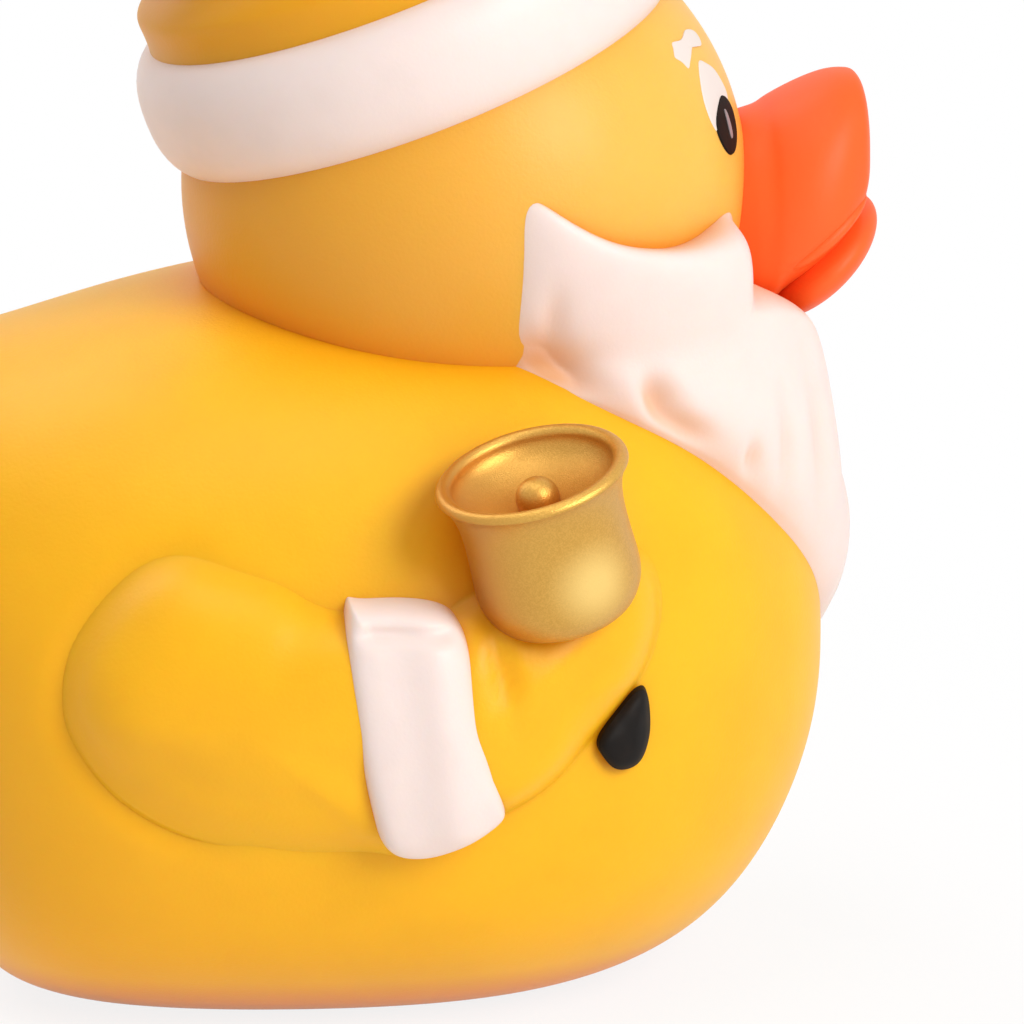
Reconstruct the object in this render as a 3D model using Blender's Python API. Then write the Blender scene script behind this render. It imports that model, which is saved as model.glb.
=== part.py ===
"""A moulded vinyl rubber duck in a bobble hat, with a beard and a hand bell, and the squeaker in its base.

Metres, +Z up. The duck looks along +X and its left side is at +Y. The origin is on the table, under the
middle of the flat base.
"""

import math

import bmesh
import bpy
from mathutils import Matrix, Vector
from mathutils.bvhtree import BVHTree

MM = 0.001

# The vinyl skin, and the running clearance round the squeaker.
WALL = 2.2 * MM
GAP = 0.3 * MM

# The body. Its shape is a row of upright sections from the tail to the chest, each given as shares of the
# three sizes: how far along, lowest point, highest point, half width.
BODY_LENGTH = 87.1 * MM
BODY_HEIGHT = 61.0 * MM
BODY_WIDTH = 69.0 * MM
BASE_CUT = 3.0 * MM
BASE_CENTRE = 0.534
BODY_SHAPE = (
    (0.000, 0.925, 0.925, 0.000),
    (0.015, 0.862, 0.958, 0.095),
    (0.052, 0.705, 0.960, 0.205),
    (0.109, 0.440, 0.928, 0.400),
    (0.178, 0.150, 0.903, 0.660),
    (0.258, 0.046, 0.918, 0.840),
    (0.362, 0.021, 0.955, 0.945),
    (0.488, 0.013, 0.986, 1.000),
    (0.626, 0.014, 1.000, 1.000),
    (0.752, 0.034, 0.988, 0.916),
    (0.855, 0.088, 0.910, 0.748),
    (0.930, 0.190, 0.787, 0.545),
    (0.979, 0.336, 0.656, 0.313),
    (1.000, 0.485, 0.485, 0.000),
)
BODY_WIDEST = 0.46
BODY_SQUARENESS = 2.3

# The head: a ball sunk into the body's back.
HEAD_RADIUS = 22.6 * MM
HEAD_ALONG = 0.666
HEAD_RISE = 5.8 * MM

# The hat leans back. Its seat is where the band's lower edge meets the head.
HAT_TILT = math.radians(20.6)
HAT_SEAT = 10.0 * MM
BAND_RADIUS = 21.9 * MM
BAND_HEIGHT = 10.7 * MM
BAND_THICK = 7.6 * MM
BAND_DROP = 1.4 * MM
BAND_SQUARENESS = 2.4
CROWN_RADIUS = 20.1 * MM
CROWN_REACH = 28.0 * MM
CROWN_SHAPE = (
    (0.00, 1.00, 0),
    (0.12, 0.95, 3),
    (0.34, 0.70, 20),
    (0.56, 0.48, 43),
    (0.78, 0.31, 74),
    (1.00, 0.20, 106),
)
POMPOM_RADIUS = 6.6 * MM

# The bill. The upper bill's sections are shares of its sizes: reach, top, bottom, half width.
BILL_REACH = 10.0 * MM
BILL_RISE = 8.2 * MM
BILL_DROP = 10.6 * MM
BILL_WIDTH = 18.8 * MM
BILL_ROOT = 7.0 * MM
BILL_WIDEST = 0.3
BILL_SQUARENESS = 2.3
UPPER_BILL_SHAPE = (
    (-0.70, 0.45, 0.80, 0.70),
    (0.00, 0.62, 1.00, 0.90),
    (0.20, 0.72, 0.90, 0.97),
    (0.44, 0.87, 0.73, 1.00),
    (0.68, 0.98, 0.53, 0.92),
    (0.84, 1.00, 0.33, 0.77),
    (0.94, 0.88, 0.10, 0.56),
    (1.00, 0.36, -0.28, 0.00),
)
LIP_LENGTH = 13.0 * MM
LIP_WIDTH = 17.0 * MM
LIP_THICK = 3.2 * MM
LIP_TILT = math.radians(43)
LIP_LEVEL = 3.2 * MM

# The beard, as seen from a point inside the neck: bearing from straight ahead against height, in degrees.
BEARD_EYE_BACK = 5.5 * MM
BEARD_EYE_DOWN = 17.7 * MM
BEARD_PROUD = 1.5 * MM
BEARD_FULLNESS = 4.4 * MM
BEARD_SINK = 2.0 * MM
BEARD_HALF_SPAN = 72.6
BEARD_TOP = (
    (0.00, 20.0),
    (0.14, 22.0),
    (0.25, 28.5),
    (0.47, 30.3),
    (0.65, 31.8),
    (0.79, 34.9),
    (0.90, 39.3),
    (0.96, 41.6),
    (1.00, 40.5),
)
BEARD_BOTTOM = (
    (0.00, -31.0),
    (0.15, -26.5),
    (0.26, -20.6),
    (0.43, -10.5),
    (0.58, -2.0),
    (0.72, 4.7),
    (0.92, 14.5),
    (1.00, 20.0),
)
BEARD_FOLD_DEPTH = 0.5 * MM
BEARD_FOLDS = 4
# How squarely the sheet leaves the skin along its lower and upper edges. Under the bill it swells out later:
# how far across that goes, and between which shares of the way down.
BEARD_LOWER_SQUARENESS = 3.2
BEARD_UPPER_SQUARENESS = 8
BEARD_BILL_SPAN = (0.22, 0.36)
BEARD_BILL_DEPTH = (0.09, 0.34)

# The arms: a folded wing, a cuff and a fist, set out from the wrist on the body's side.
WRIST_ALONG = 0.581
WRIST_UP = 0.508
WING_LENGTH = 27.0 * MM
WING_HEIGHT = 23.1 * MM
WING_PROUD = 2.2 * MM
WING_SHAPE = (
    (-1.00, 0.09),
    (-0.91, 0.38),
    (-0.64, 0.57),
    (-0.31, 0.50),
    (0.05, 0.36),
    (0.05, -0.38),
    (-0.45, -0.42),
    (-0.82, -0.29),
    (-0.97, -0.09),
)
CUFF_LENGTH = 10.6 * MM
CUFF_HEIGHT = 21.0 * MM
CUFF_PROUD = 4.0 * MM
CUFF_LEAN = math.radians(8)
FIST_FORWARD = 10.0 * MM
FIST_UP = 2.4 * MM
FIST_LENGTH = 21.0 * MM
FIST_HEIGHT = 13.0 * MM
FIST_PROUD = 3.6 * MM
FIST_LEAN = math.radians(48)
RELIEF_SINK = 1.6 * MM

# The bell in the duck's right fist, mouth up.
BELL_LEAN = Vector((-0.25, -0.17, 0.953)).normalized()
BELL_HEIGHT = 13.0 * MM
BELL_MOUTH_RADIUS = 7.5 * MM
BELL_LIP = 1.0 * MM
BELL_BOWL_DEPTH = 3.2 * MM
BELL_RISE = 6.6 * MM
BELL_FORWARD = 3.0 * MM
BELL_RIM = 0.97
BELL_SHAPE = (
    (0.00, 0.00),
    (0.30, 0.00),
    (0.62, 0.05),
    (0.78, 0.14),
    (0.85, 0.26),
    (0.85, 0.42),
    (0.84, 0.60),
    (0.86, 0.78),
    (0.93, 0.91),
    (1.00, BELL_RIM),
)
CLAPPER_RADIUS = 1.7 * MM
HANDLE_RADIUS = 1.9 * MM
KNOB_RADIUS = 2.2 * MM
KNOB_LENGTH = 6.4 * MM
KNOB_FORWARD = 15.4 * MM
KNOB_DOWN = 0.9 * MM
KNOB_PROUD = 1.9 * MM

# The squeaker, pressed into a boss in the floor of the body.
SQUEAKER_BACK = 11.0 * MM
NECK_RADIUS = 4.0 * MM
FLANGE_RADIUS = 5.6 * MM
FLANGE_THICK = 1.2 * MM
BARB_RADIUS = 4.6 * MM
BARB_LENGTH = 2.0 * MM
AIR_HOLE_RADIUS = 1.0 * MM
BOSS_WALL = 2.6 * MM
BOSS_HEIGHT = 4.6 * MM

# Facets.
BODY_SIDES = 32
BODY_STEPS = 3
HEAD_SIDES = 36
CROWN_SIDES = 32
CAVITY_SIDES = 20
ROUND_SIDES = 24


def spline(keys, t):
    """The point at t, from 0 to len(keys) - 1, on a smooth curve through the keys."""
    i = min(int(t), len(keys) - 2)
    u = t - i
    before = keys[max(i - 1, 0)]
    after = keys[min(i + 2, len(keys) - 1)]
    return tuple(
        0.5 * (2 * b + (c - a) * u + (2 * a - 5 * b + 4 * c - d) * u**2 + (3 * b - a - 3 * c + d) * u**3)
        for a, b, c, d in zip(before, keys[i], keys[i + 1], after)
    )


def value_at(keys, x):
    """The keys as a function: the other values where the first value is x, on the same smooth curve."""
    low = 0.0
    high = len(keys) - 1.0
    for _ in range(40):
        middle = (low + high) / 2
        if spline(keys, middle)[0] < x:
            low = middle
        else:
            high = middle
    return spline(keys, low)[1:]


def closed_curve(points, count):
    """Count points round a smooth closed curve through the given points."""
    n = len(points)
    curve = []
    for k in range(count):
        t = n * k / count
        i = int(t)
        keys = [points[(i + j - 1) % n] for j in range(4)]
        curve.append(spline(keys, 1 + t - i))
    return curve


def power(value, exponent):
    return math.copysign(abs(value) ** exponent, value)


def smooth_step(start, end, value):
    share = min(max((value - start) / (end - start), 0), 1)
    return share * share * (3 - 2 * share)


def superellipse(count, half_a, half_b, squareness):
    """Count points round a rounded rectangle; squareness 2 is an ellipse."""
    points = []
    for i in range(count):
        angle = 2 * math.pi * i / count
        a = half_a * power(math.cos(angle), 2 / squareness)
        b = half_b * power(math.sin(angle), 2 / squareness)
        points.append((a, b))
    return points


def make_material(name, colour, roughness, metallic=0.0):
    material = bpy.data.materials.new(name)
    material.use_nodes = True
    material.diffuse_color = (*colour, 1)
    shader = material.node_tree.nodes["Principled BSDF"]
    shader.inputs["Base Color"].default_value = (*colour, 1)
    shader.inputs["Roughness"].default_value = roughness
    shader.inputs["Metallic"].default_value = metallic
    return material


def new_object(name, bm, material, smooth_angle=35):
    bmesh.ops.recalc_face_normals(bm, faces=bm.faces)
    mesh = bpy.data.meshes.new(name)
    bm.to_mesh(mesh)
    bm.free()
    mesh.materials.append(material)
    mesh.shade_smooth()
    mesh.set_sharp_from_angle(angle=math.radians(smooth_angle))
    obj = bpy.data.objects.new(name, mesh)
    bpy.context.scene.collection.objects.link(obj)
    return obj


def skin_rings(bm, rings, closed=False):
    """Faces between rings of points. A ring of one point is a pole; closed joins the last to the first."""
    loops = [[bm.verts.new(point) for point in ring] for ring in rings]
    pairs = list(zip(loops, loops[1:]))
    if closed:
        pairs.append((loops[-1], loops[0]))
    for lower, upper in pairs:
        count = max(len(lower), len(upper))
        for i in range(count):
            j = (i + 1) % count
            near = [lower[i % len(lower)], lower[j % len(lower)]]
            far = [upper[j % len(upper)], upper[i % len(upper)]]
            bm.faces.new(list(dict.fromkeys(near + far)))
    if not closed:
        for loop in (loops[0], loops[-1]):
            if len(loop) > 1:
                bm.faces.new(loop)


def loft(name, rings, material, closed=False, floor=None):
    """A closed solid over rings of points. With a floor, what lies below that height is cut off flat."""
    bm = bmesh.new()
    skin_rings(bm, rings, closed)
    if floor is not None:
        everything = bm.verts[:] + bm.edges[:] + bm.faces[:]
        cut = bmesh.ops.bisect_plane(
            bm, geom=everything, dist=1e-7, plane_co=(0, 0, floor), plane_no=(0, 0, 1), clear_inner=True
        )
        rim = [item for item in cut["geom_cut"] if isinstance(item, bmesh.types.BMEdge)]
        bmesh.ops.edgeloop_fill(bm, edges=rim)
    return new_object(name, bm, material)


def turned(name, profile, origin, axis, material, sides, closed=False):
    """A solid of revolution: the profile is (radius, height) along the axis, from the origin."""
    turn = axis.to_track_quat("Z", "Y")
    rings = []
    for radius, height in profile:
        if radius == 0:
            rings.append([origin + turn @ Vector((0, 0, height))])
            continue
        ring = []
        for i in range(sides):
            angle = 2 * math.pi * i / sides
            ring.append(origin + turn @ Vector((radius * math.cos(angle), radius * math.sin(angle), height)))
        rings.append(ring)
    return loft(name, rings, material, closed)


def ellipsoid(name, centre, radii, axis, material, sides):
    """Radii are across, across and along the axis."""
    turn = axis.to_track_quat("Z", "Y").to_matrix().to_4x4()
    half_facet = Matrix.Rotation(math.pi / sides, 4, "Z")
    bm = bmesh.new()
    place = Matrix.Translation(centre) @ turn @ Matrix.Diagonal((*radii, 1)) @ half_facet
    bmesh.ops.create_uvsphere(bm, u_segments=sides, v_segments=sides // 2, radius=1, matrix=place)
    return new_object(name, bm, material)


# The body and its side

def body_section(along):
    low, high, half = value_at(BODY_SHAPE, along)
    return low * BODY_HEIGHT - BASE_CUT, high * BODY_HEIGHT - BASE_CUT, half * BODY_WIDTH / 2


def body_x(along):
    return (along - BASE_CENTRE) * BODY_LENGTH


def body_along(x):
    return x / BODY_LENGTH + BASE_CENTRE


def body_side(x, z):
    """How far the body's surface stands out from the middle plane, at a place on its side."""
    low, high, half = body_section(body_along(x))
    widest = low + BODY_WIDEST * (high - low)
    reach = high - widest if z > widest else widest - low
    share = min(abs(z - widest) / reach, 1)
    return half * (1 - share**BODY_SQUARENESS) ** (1 / BODY_SQUARENESS)


def body_form(name, material, sides, steps, inset, floor):
    """The body's skin, drawn in by inset, and cut off flat at the floor."""
    spans = len(BODY_SHAPE) - 1
    rings = []
    for i in range(spans * steps + 1):
        along, low, high, half = spline(BODY_SHAPE, i / steps)
        squeeze = 1 - 2 * inset / BODY_LENGTH
        x = body_x(BASE_CENTRE + (along - BASE_CENTRE) * squeeze)
        bottom = low * BODY_HEIGHT - BASE_CUT + inset
        top = high * BODY_HEIGHT - BASE_CUT - inset
        width = half * BODY_WIDTH / 2 - inset
        if top - bottom < inset or width <= inset:
            if i in (0, spans * steps):
                rings.append([Vector((x, 0, (low + high) / 2 * BODY_HEIGHT - BASE_CUT))])
            continue
        widest = bottom + BODY_WIDEST * (top - bottom)
        ring = []
        for y, share in superellipse(sides, width, 1, BODY_SQUARENESS):
            reach = top - widest if share > 0 else widest - bottom
            ring.append(Vector((x, y, widest + share * reach)))
        rings.append(ring)
    return loft(name, rings, material, floor=floor)


def head_centre():
    top = body_section(HEAD_ALONG)[1]
    return Vector((body_x(HEAD_ALONG), 0, top + HEAD_RISE))


def head_form(name, material, sides, inset):
    radius = HEAD_RADIUS - inset
    return ellipsoid(name, head_centre(), (radius, radius, radius), hat_axis(), material, sides)


# The hat

def hat_axis():
    return Vector((-math.sin(HAT_TILT), 0, math.cos(HAT_TILT)))


def hat_seat():
    return head_centre() + HAT_SEAT * hat_axis()


def band_form(name, material):
    middle = BAND_HEIGHT / 2 - BAND_DROP
    centre_radius = BAND_RADIUS - BAND_THICK / 2
    section = superellipse(14, BAND_THICK / 2, BAND_HEIGHT / 2, BAND_SQUARENESS)
    profile = [(centre_radius + across, middle + up) for across, up in section]
    return turned(name, profile, hat_seat(), hat_axis(), material, HEAD_SIDES, closed=True)


def crown_form(name, material, sides, inset):
    """The hat's crown: a cone that leaves the band straight and folds over to the back."""
    steps = 12
    foot = BAND_HEIGHT - BAND_DROP
    straight = [(-BAND_DROP, 0.85 * CROWN_RADIUS, 0), (0.3 * foot, CROWN_RADIUS, 0)]
    folded = []
    for i in range(steps + 1):
        reach, width, bend = spline(CROWN_SHAPE, i * (len(CROWN_SHAPE) - 1) / steps)
        folded.append((foot + reach * CROWN_REACH, CROWN_RADIUS * width, math.radians(bend)))
    centre = hat_seat()
    travelled = 0
    rings = []
    for distance, radius, bend in straight + folded:
        lean = HAT_TILT + bend
        axis = Vector((-math.sin(lean), 0, math.cos(lean)))
        centre = centre + (distance - travelled) * axis
        travelled = distance
        if radius <= 2 * inset:
            break
        turn = axis.to_track_quat("Z", "Y")
        ring = []
        for across, side in superellipse(sides, radius - inset, radius - inset, 2):
            ring.append(centre + turn @ Vector((across, side, 0)))
        rings.append(ring)
    return loft(name, rings, material), centre, axis


# The bill

def bill_root():
    return head_centre() + Vector((HEAD_RADIUS, 0, 0))


def upper_bill_form(name, material):
    rings = []
    steps = 3 * (len(UPPER_BILL_SHAPE) - 1)
    for i in range(steps + 1):
        reach, top, bottom, half = spline(UPPER_BILL_SHAPE, i / 3)
        x = reach * (BILL_REACH if reach > 0 else BILL_ROOT)
        above = top * BILL_RISE
        below = -bottom * BILL_DROP
        widest = below + BILL_WIDEST * (above - below)
        if i == steps:
            rings.append([bill_root() + Vector((x, 0, widest))])
            continue
        ring = []
        for y, share in superellipse(20, max(half, 0.1) * BILL_WIDTH / 2, 1, BILL_SQUARENESS):
            reach = above - widest if share > 0 else widest - below
            ring.append(bill_root() + Vector((x, y, widest + share * reach)))
        rings.append(ring)
    return loft(name, rings, material)


def lower_bill_form(name, material):
    """A flat lip that runs forward and up under the upper bill."""
    direction = Vector((math.cos(LIP_TILT), 0, math.sin(LIP_TILT)))
    tip = bill_root() + Vector((BILL_REACH + 0.1 * LIP_THICK, 0, -LIP_LEVEL))
    centre = tip - direction * LIP_LENGTH / 2
    radii = (LIP_WIDTH / 2, LIP_THICK / 2, LIP_LENGTH / 2)
    return ellipsoid(name, centre, radii, direction, material, 20)


# The beard

def beard_eye():
    return head_centre() - Vector((BEARD_EYE_BACK, 0, BEARD_EYE_DOWN))


def surface_distance(trees, origin, direction):
    """How far out from the origin the outermost of the forms lies."""
    far = BODY_LENGTH + HEAD_RADIUS
    distances = []
    for tree in trees:
        hit = tree.ray_cast(origin + far * direction, -direction, far)
        if hit[0] is not None:
            distances.append((hit[0] - origin).length)
    return max(distances)


def chord(start, end, angle, share):
    """How far out a straight line lies, at a share of the angle between its two ends."""
    return start * end * math.sin(angle) / (
        start * math.sin(angle * share) + end * math.sin(angle * (1 - share))
    )


def beard_form(name, trees, material, columns=30, rows=15):
    """A sheet of beard over the cheeks, the neck and the chest: fullest in front, and folded."""
    eye = beard_eye()
    outer = []
    inner = []
    for i in range(columns + 1):
        across = 2 * i / columns - 1
        bearing = math.radians(BEARD_HALF_SPAN * across)
        top = value_at(BEARD_TOP, abs(across))[0]
        bottom = value_at(BEARD_BOTTOM, abs(across))[0]
        fullness = 1 - abs(across) ** 1.5
        beside_bill = smooth_step(*BEARD_BILL_SPAN, abs(across))
        column = []
        for j in range(rows + 1):
            height = math.radians(top + (bottom - top) * j / rows)
            flat = math.cos(height)
            column.append(Vector((flat * math.cos(bearing), -flat * math.sin(bearing), math.sin(height))))
        reaches = [surface_distance(trees, eye, direction) for direction in column]
        outer_column = []
        for j, direction in enumerate(column):
            down = j / rows
            span = chord(reaches[0], reaches[-1], math.radians(top - bottom), down)
            hang = reaches[j] + fullness * max(span - reaches[j], 0)
            border = BEARD_UPPER_SQUARENESS if down < 0.5 else BEARD_LOWER_SQUARENESS
            clear_of_bill = max(beside_bill, smooth_step(*BEARD_BILL_DEPTH, down))
            edge = (1 - abs(2 * down - 1) ** border) * (1 - abs(across) ** 16) * clear_of_bill
            fold = BEARD_FOLD_DEPTH * math.sin(math.pi * BEARD_FOLDS * (abs(across) + 0.25 * down))
            proud = BEARD_PROUD + fullness * BEARD_FULLNESS * (1 - 0.4 * down) + fold * down
            outer_column.append(eye + direction * (hang + edge * proud - (1 - edge) * GAP))
        outer.append(outer_column)
        inner.append([eye + direction * (reach - BEARD_SINK) for direction, reach in zip(column, reaches)])
    bm = bmesh.new()
    front = [[bm.verts.new(point) for point in column] for column in outer]
    back = [[bm.verts.new(point) for point in column] for column in inner]
    for i in range(columns):
        for j in range(rows):
            bm.faces.new((front[i][j], front[i + 1][j], front[i + 1][j + 1], front[i][j + 1]))
            bm.faces.new((back[i][j + 1], back[i + 1][j + 1], back[i + 1][j], back[i][j]))
        bm.faces.new((front[i][0], back[i][0], back[i + 1][0], front[i + 1][0]))
        bm.faces.new((front[i + 1][rows], back[i + 1][rows], back[i][rows], front[i][rows]))
    for j in range(rows):
        bm.faces.new((front[0][j + 1], back[0][j + 1], back[0][j], front[0][j]))
        bm.faces.new((front[columns][j], back[columns][j], back[columns][j + 1], front[columns][j + 1]))
    return new_object(name, bm, material)


# The arms

def wrist():
    return Vector((body_x(WRIST_ALONG), WRIST_UP * BODY_HEIGHT - BASE_CUT))


def leaning(points, lean):
    turn = Matrix.Rotation(lean, 2)
    return [turn @ Vector(point) for point in points]


def on_side(x, z, proud, side):
    return Vector((x, side * (body_side(x, z) + proud), z))


def relief(name, centre, outline, proud, fullness, side, material):
    """A raised form on the body's side. Fullness 2 is a dome; more gives a flatter top with rounder edges."""
    levels = [(share, -RELIEF_SINK) for share in (0.0, 0.5, 1.0)]
    levels += [(share, proud * (1 - share**fullness) ** 0.5) for share in (1.0, 0.95, 0.84, 0.65, 0.35, 0.0)]
    rings = []
    for share, height in levels:
        around = outline if share > 0 else [(0, 0)]
        places = [(centre.x + share * x, centre.y + share * z) for x, z in around]
        rings.append([on_side(x, z, height, side) for x, z in places])
    return loft(name, rings, material)


def wing_form(name, side, material):
    corners = [(along * WING_LENGTH, up * WING_HEIGHT) for along, up in WING_SHAPE]
    outline = closed_curve(corners, ROUND_SIDES)
    centre = Vector((-0.42 * WING_LENGTH, 0.05 * WING_HEIGHT))
    around = [(x - centre.x, z - centre.y) for x, z in outline]
    return relief(name, wrist() + centre, around, WING_PROUD, 3, side, material)


def cuff_form(name, side, material):
    outline = leaning(superellipse(ROUND_SIDES, CUFF_LENGTH / 2, CUFF_HEIGHT / 2, 4), CUFF_LEAN)
    return relief(name, wrist(), outline, CUFF_PROUD, 5, side, material)


def fist_form(name, side, material):
    outline = leaning(superellipse(ROUND_SIDES, FIST_LENGTH / 2, FIST_HEIGHT / 2, 2.2), FIST_LEAN)
    centre = wrist() + Vector((FIST_FORWARD, FIST_UP))
    return relief(name, centre, outline, FIST_PROUD, 3, side, material)


# The bell

def bell_grip():
    fist = wrist() + Vector((FIST_FORWARD + BELL_FORWARD, FIST_UP))
    return on_side(fist.x, fist.y, 0, -1)


def bell_form(name, material):
    """A turned cup with a flared mouth: the outside from the foot up, then the lip, then the bowl."""
    lip = BELL_LIP / 2
    rim = BELL_RIM * BELL_HEIGHT
    profile = [(share * BELL_MOUTH_RADIUS, up * BELL_HEIGHT) for share, up in BELL_SHAPE]
    for i in range(1, 5):
        angle = math.pi * i / 5
        profile.append((BELL_MOUTH_RADIUS - lip + lip * math.cos(angle), rim + lip * math.sin(angle)))
    bowl_radius = BELL_MOUTH_RADIUS - BELL_LIP
    for i in range(7):
        angle = math.pi / 2 * i / 6
        profile.append((bowl_radius * math.cos(angle), rim - BELL_BOWL_DEPTH * math.sin(angle)))
    profile[-1] = (0, rim - BELL_BOWL_DEPTH)
    foot = bell_grip() + BELL_RISE * BELL_LEAN
    return turned(name, profile, foot, BELL_LEAN, material, ROUND_SIDES)


def clapper_form(name, material):
    floor = BELL_RISE + BELL_RIM * BELL_HEIGHT - BELL_BOWL_DEPTH
    centre = bell_grip() + (floor + 0.75 * CLAPPER_RADIUS) * BELL_LEAN
    return ellipsoid(name, centre, (CLAPPER_RADIUS,) * 3, Vector((0, 0, 1)), material, 14)


def handle_form(name, material):
    """The stub of handle between the fist and the bell's foot."""
    length = BELL_RISE + 0.2 * BELL_HEIGHT
    profile = [(0, 0), (HANDLE_RADIUS, 0), (HANDLE_RADIUS, length), (0, length)]
    return turned(name, profile, bell_grip(), BELL_LEAN, material, 14)


def knob_form(name, material):
    """The end of the bell's handle, below the fist."""
    place = wrist() + Vector((KNOB_FORWARD, -KNOB_DOWN))
    centre = on_side(place.x, place.y, KNOB_PROUD, -1)
    return ellipsoid(name, centre, (KNOB_RADIUS, KNOB_RADIUS, KNOB_LENGTH / 2), BELL_LEAN, material, 14)


# The squeaker and its seat

def squeaker_place():
    return Vector((-SQUEAKER_BACK, 0, 0))


def squeaker_form(name, material):
    neck_top = BOSS_HEIGHT + GAP
    flange_top = GAP + FLANGE_THICK
    profile = [
        (AIR_HOLE_RADIUS, GAP),
        (FLANGE_RADIUS, GAP),
        (FLANGE_RADIUS, flange_top),
        (NECK_RADIUS, flange_top),
        (NECK_RADIUS, neck_top),
        (BARB_RADIUS, neck_top),
        (NECK_RADIUS - GAP, neck_top + BARB_LENGTH),
        (AIR_HOLE_RADIUS, neck_top + BARB_LENGTH),
    ]
    return turned(name, profile, squeaker_place(), Vector((0, 0, 1)), material, ROUND_SIDES, closed=True)


def boss_form(name, material):
    radius = FLANGE_RADIUS + GAP + BOSS_WALL
    foot = WALL / 2
    profile = [(0, foot), (radius, foot), (radius, BOSS_HEIGHT), (0, BOSS_HEIGHT)]
    return turned(name, profile, squeaker_place(), Vector((0, 0, 1)), material, ROUND_SIDES)


def seat_form(name, material):
    """What the squeaker needs cut out of the boss: its neck and a recess for its flange."""
    recess = 2 * GAP + FLANGE_THICK
    below = -WALL
    profile = [
        (0, below),
        (FLANGE_RADIUS + GAP, below),
        (FLANGE_RADIUS + GAP, recess),
        (NECK_RADIUS + GAP, recess),
        (NECK_RADIUS + GAP, BOSS_HEIGHT + WALL),
        (0, BOSS_HEIGHT + WALL),
    ]
    return turned(name, profile, squeaker_place(), Vector((0, 0, 1)), material, ROUND_SIDES)


# Putting it together

def combine(target, tools, operation):
    """Add the tools to the target, or cut them from it. They stay as guides that aren't rendered."""
    group = bpy.data.collections.new(f"{target.name}_{operation.lower()}_{len(target.modifiers)}")
    bpy.context.scene.collection.children.link(group)
    for tool in tools:
        group.objects.link(tool)
        tool.hide_render = True
        tool.display_type = "WIRE"
    modifier = target.modifiers.new(operation.title(), "BOOLEAN")
    modifier.operation = operation
    modifier.solver = "EXACT"
    modifier.operand_type = "COLLECTION"
    modifier.collection = group
    modifier.material_mode = "TRANSFER"


def tree_of(obj):
    bm = bmesh.new()
    bm.from_mesh(obj.data)
    tree = BVHTree.FromBMesh(bm)
    bm.free()
    return tree


def build_duck():
    yellow = make_material("vinyl_yellow", (0.98, 0.55, 0.04), 0.5)
    pale = make_material("vinyl_head", (0.90, 0.56, 0.14), 0.45)
    white = make_material("paint_white", (0.92, 0.84, 0.79), 0.5)
    orange = make_material("paint_orange", (1.0, 0.12, 0.02), 0.45)
    gold = make_material("paint_gold", (0.72, 0.42, 0.12), 0.35, 0.8)
    black = make_material("paint_black", (0.01, 0.01, 0.01), 0.2)

    shell = body_form("duck_shell", yellow, BODY_SIDES, BODY_STEPS, 0, 0)
    head = head_form("head", pale, HEAD_SIDES, 0)
    crown, crown_tip, crown_end = crown_form("crown", yellow, CROWN_SIDES, 0)
    pompom_centre = crown_tip + 0.7 * POMPOM_RADIUS * crown_end
    pompom = ellipsoid("pompom", pompom_centre, (POMPOM_RADIUS,) * 3, Vector((0, 1, 0)), white, 20)
    beard = beard_form("beard", (tree_of(shell), tree_of(head)), white)
    forms = [head, crown, pompom, beard, band_form("band", white)]
    forms += [upper_bill_form("upper_bill", orange), lower_bill_form("lower_bill", orange)]
    for word, side in (("right", -1), ("left", 1)):
        forms.append(wing_form(f"{word}_wing", side, yellow))
        forms.append(cuff_form(f"{word}_cuff", side, white))
        forms.append(fist_form(f"{word}_fist", side, yellow))
    forms += [handle_form("handle", gold), bell_form("bell", gold), clapper_form("clapper", gold)]
    forms.append(knob_form("knob", black))
    combine(shell, forms, "UNION")

    hollow = [
        body_form("body_hollow", yellow, CAVITY_SIDES, 2, WALL, WALL),
        head_form("head_hollow", yellow, CAVITY_SIDES, WALL),
        crown_form("crown_hollow", yellow, CAVITY_SIDES, WALL)[0],
    ]
    combine(shell, hollow, "DIFFERENCE")
    combine(shell, [boss_form("boss", yellow)], "UNION")
    combine(shell, [seat_form("seat", yellow)], "DIFFERENCE")


for old in list(bpy.data.objects):
    bpy.data.objects.remove(old)

build_duck()
squeaker_form("squeaker", make_material("squeaker_white", (0.9, 0.9, 0.88), 0.4))
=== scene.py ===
"""The looks of the rubber duck: its moulded skin, its painted parts and the studio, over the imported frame.

Metres, +Z up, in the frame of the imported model. The duck looks along +X and its left side is at +Y.
"""

import math

import bpy
import numpy as np
from mathutils import Matrix, Vector, noise
from mathutils.bvhtree import BVHTree


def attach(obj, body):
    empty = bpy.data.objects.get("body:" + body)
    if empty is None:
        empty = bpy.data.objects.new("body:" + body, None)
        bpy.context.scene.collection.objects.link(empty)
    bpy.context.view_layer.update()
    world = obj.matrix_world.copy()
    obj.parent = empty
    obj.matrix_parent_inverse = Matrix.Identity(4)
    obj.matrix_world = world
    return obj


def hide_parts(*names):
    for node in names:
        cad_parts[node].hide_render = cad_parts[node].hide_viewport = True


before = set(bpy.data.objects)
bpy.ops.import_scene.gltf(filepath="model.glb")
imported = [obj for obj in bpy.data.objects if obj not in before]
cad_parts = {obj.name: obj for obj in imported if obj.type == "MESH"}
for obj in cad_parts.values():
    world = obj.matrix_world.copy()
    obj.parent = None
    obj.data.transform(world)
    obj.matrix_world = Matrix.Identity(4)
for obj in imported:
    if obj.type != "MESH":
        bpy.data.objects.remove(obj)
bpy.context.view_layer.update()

MM = 0.001

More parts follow.
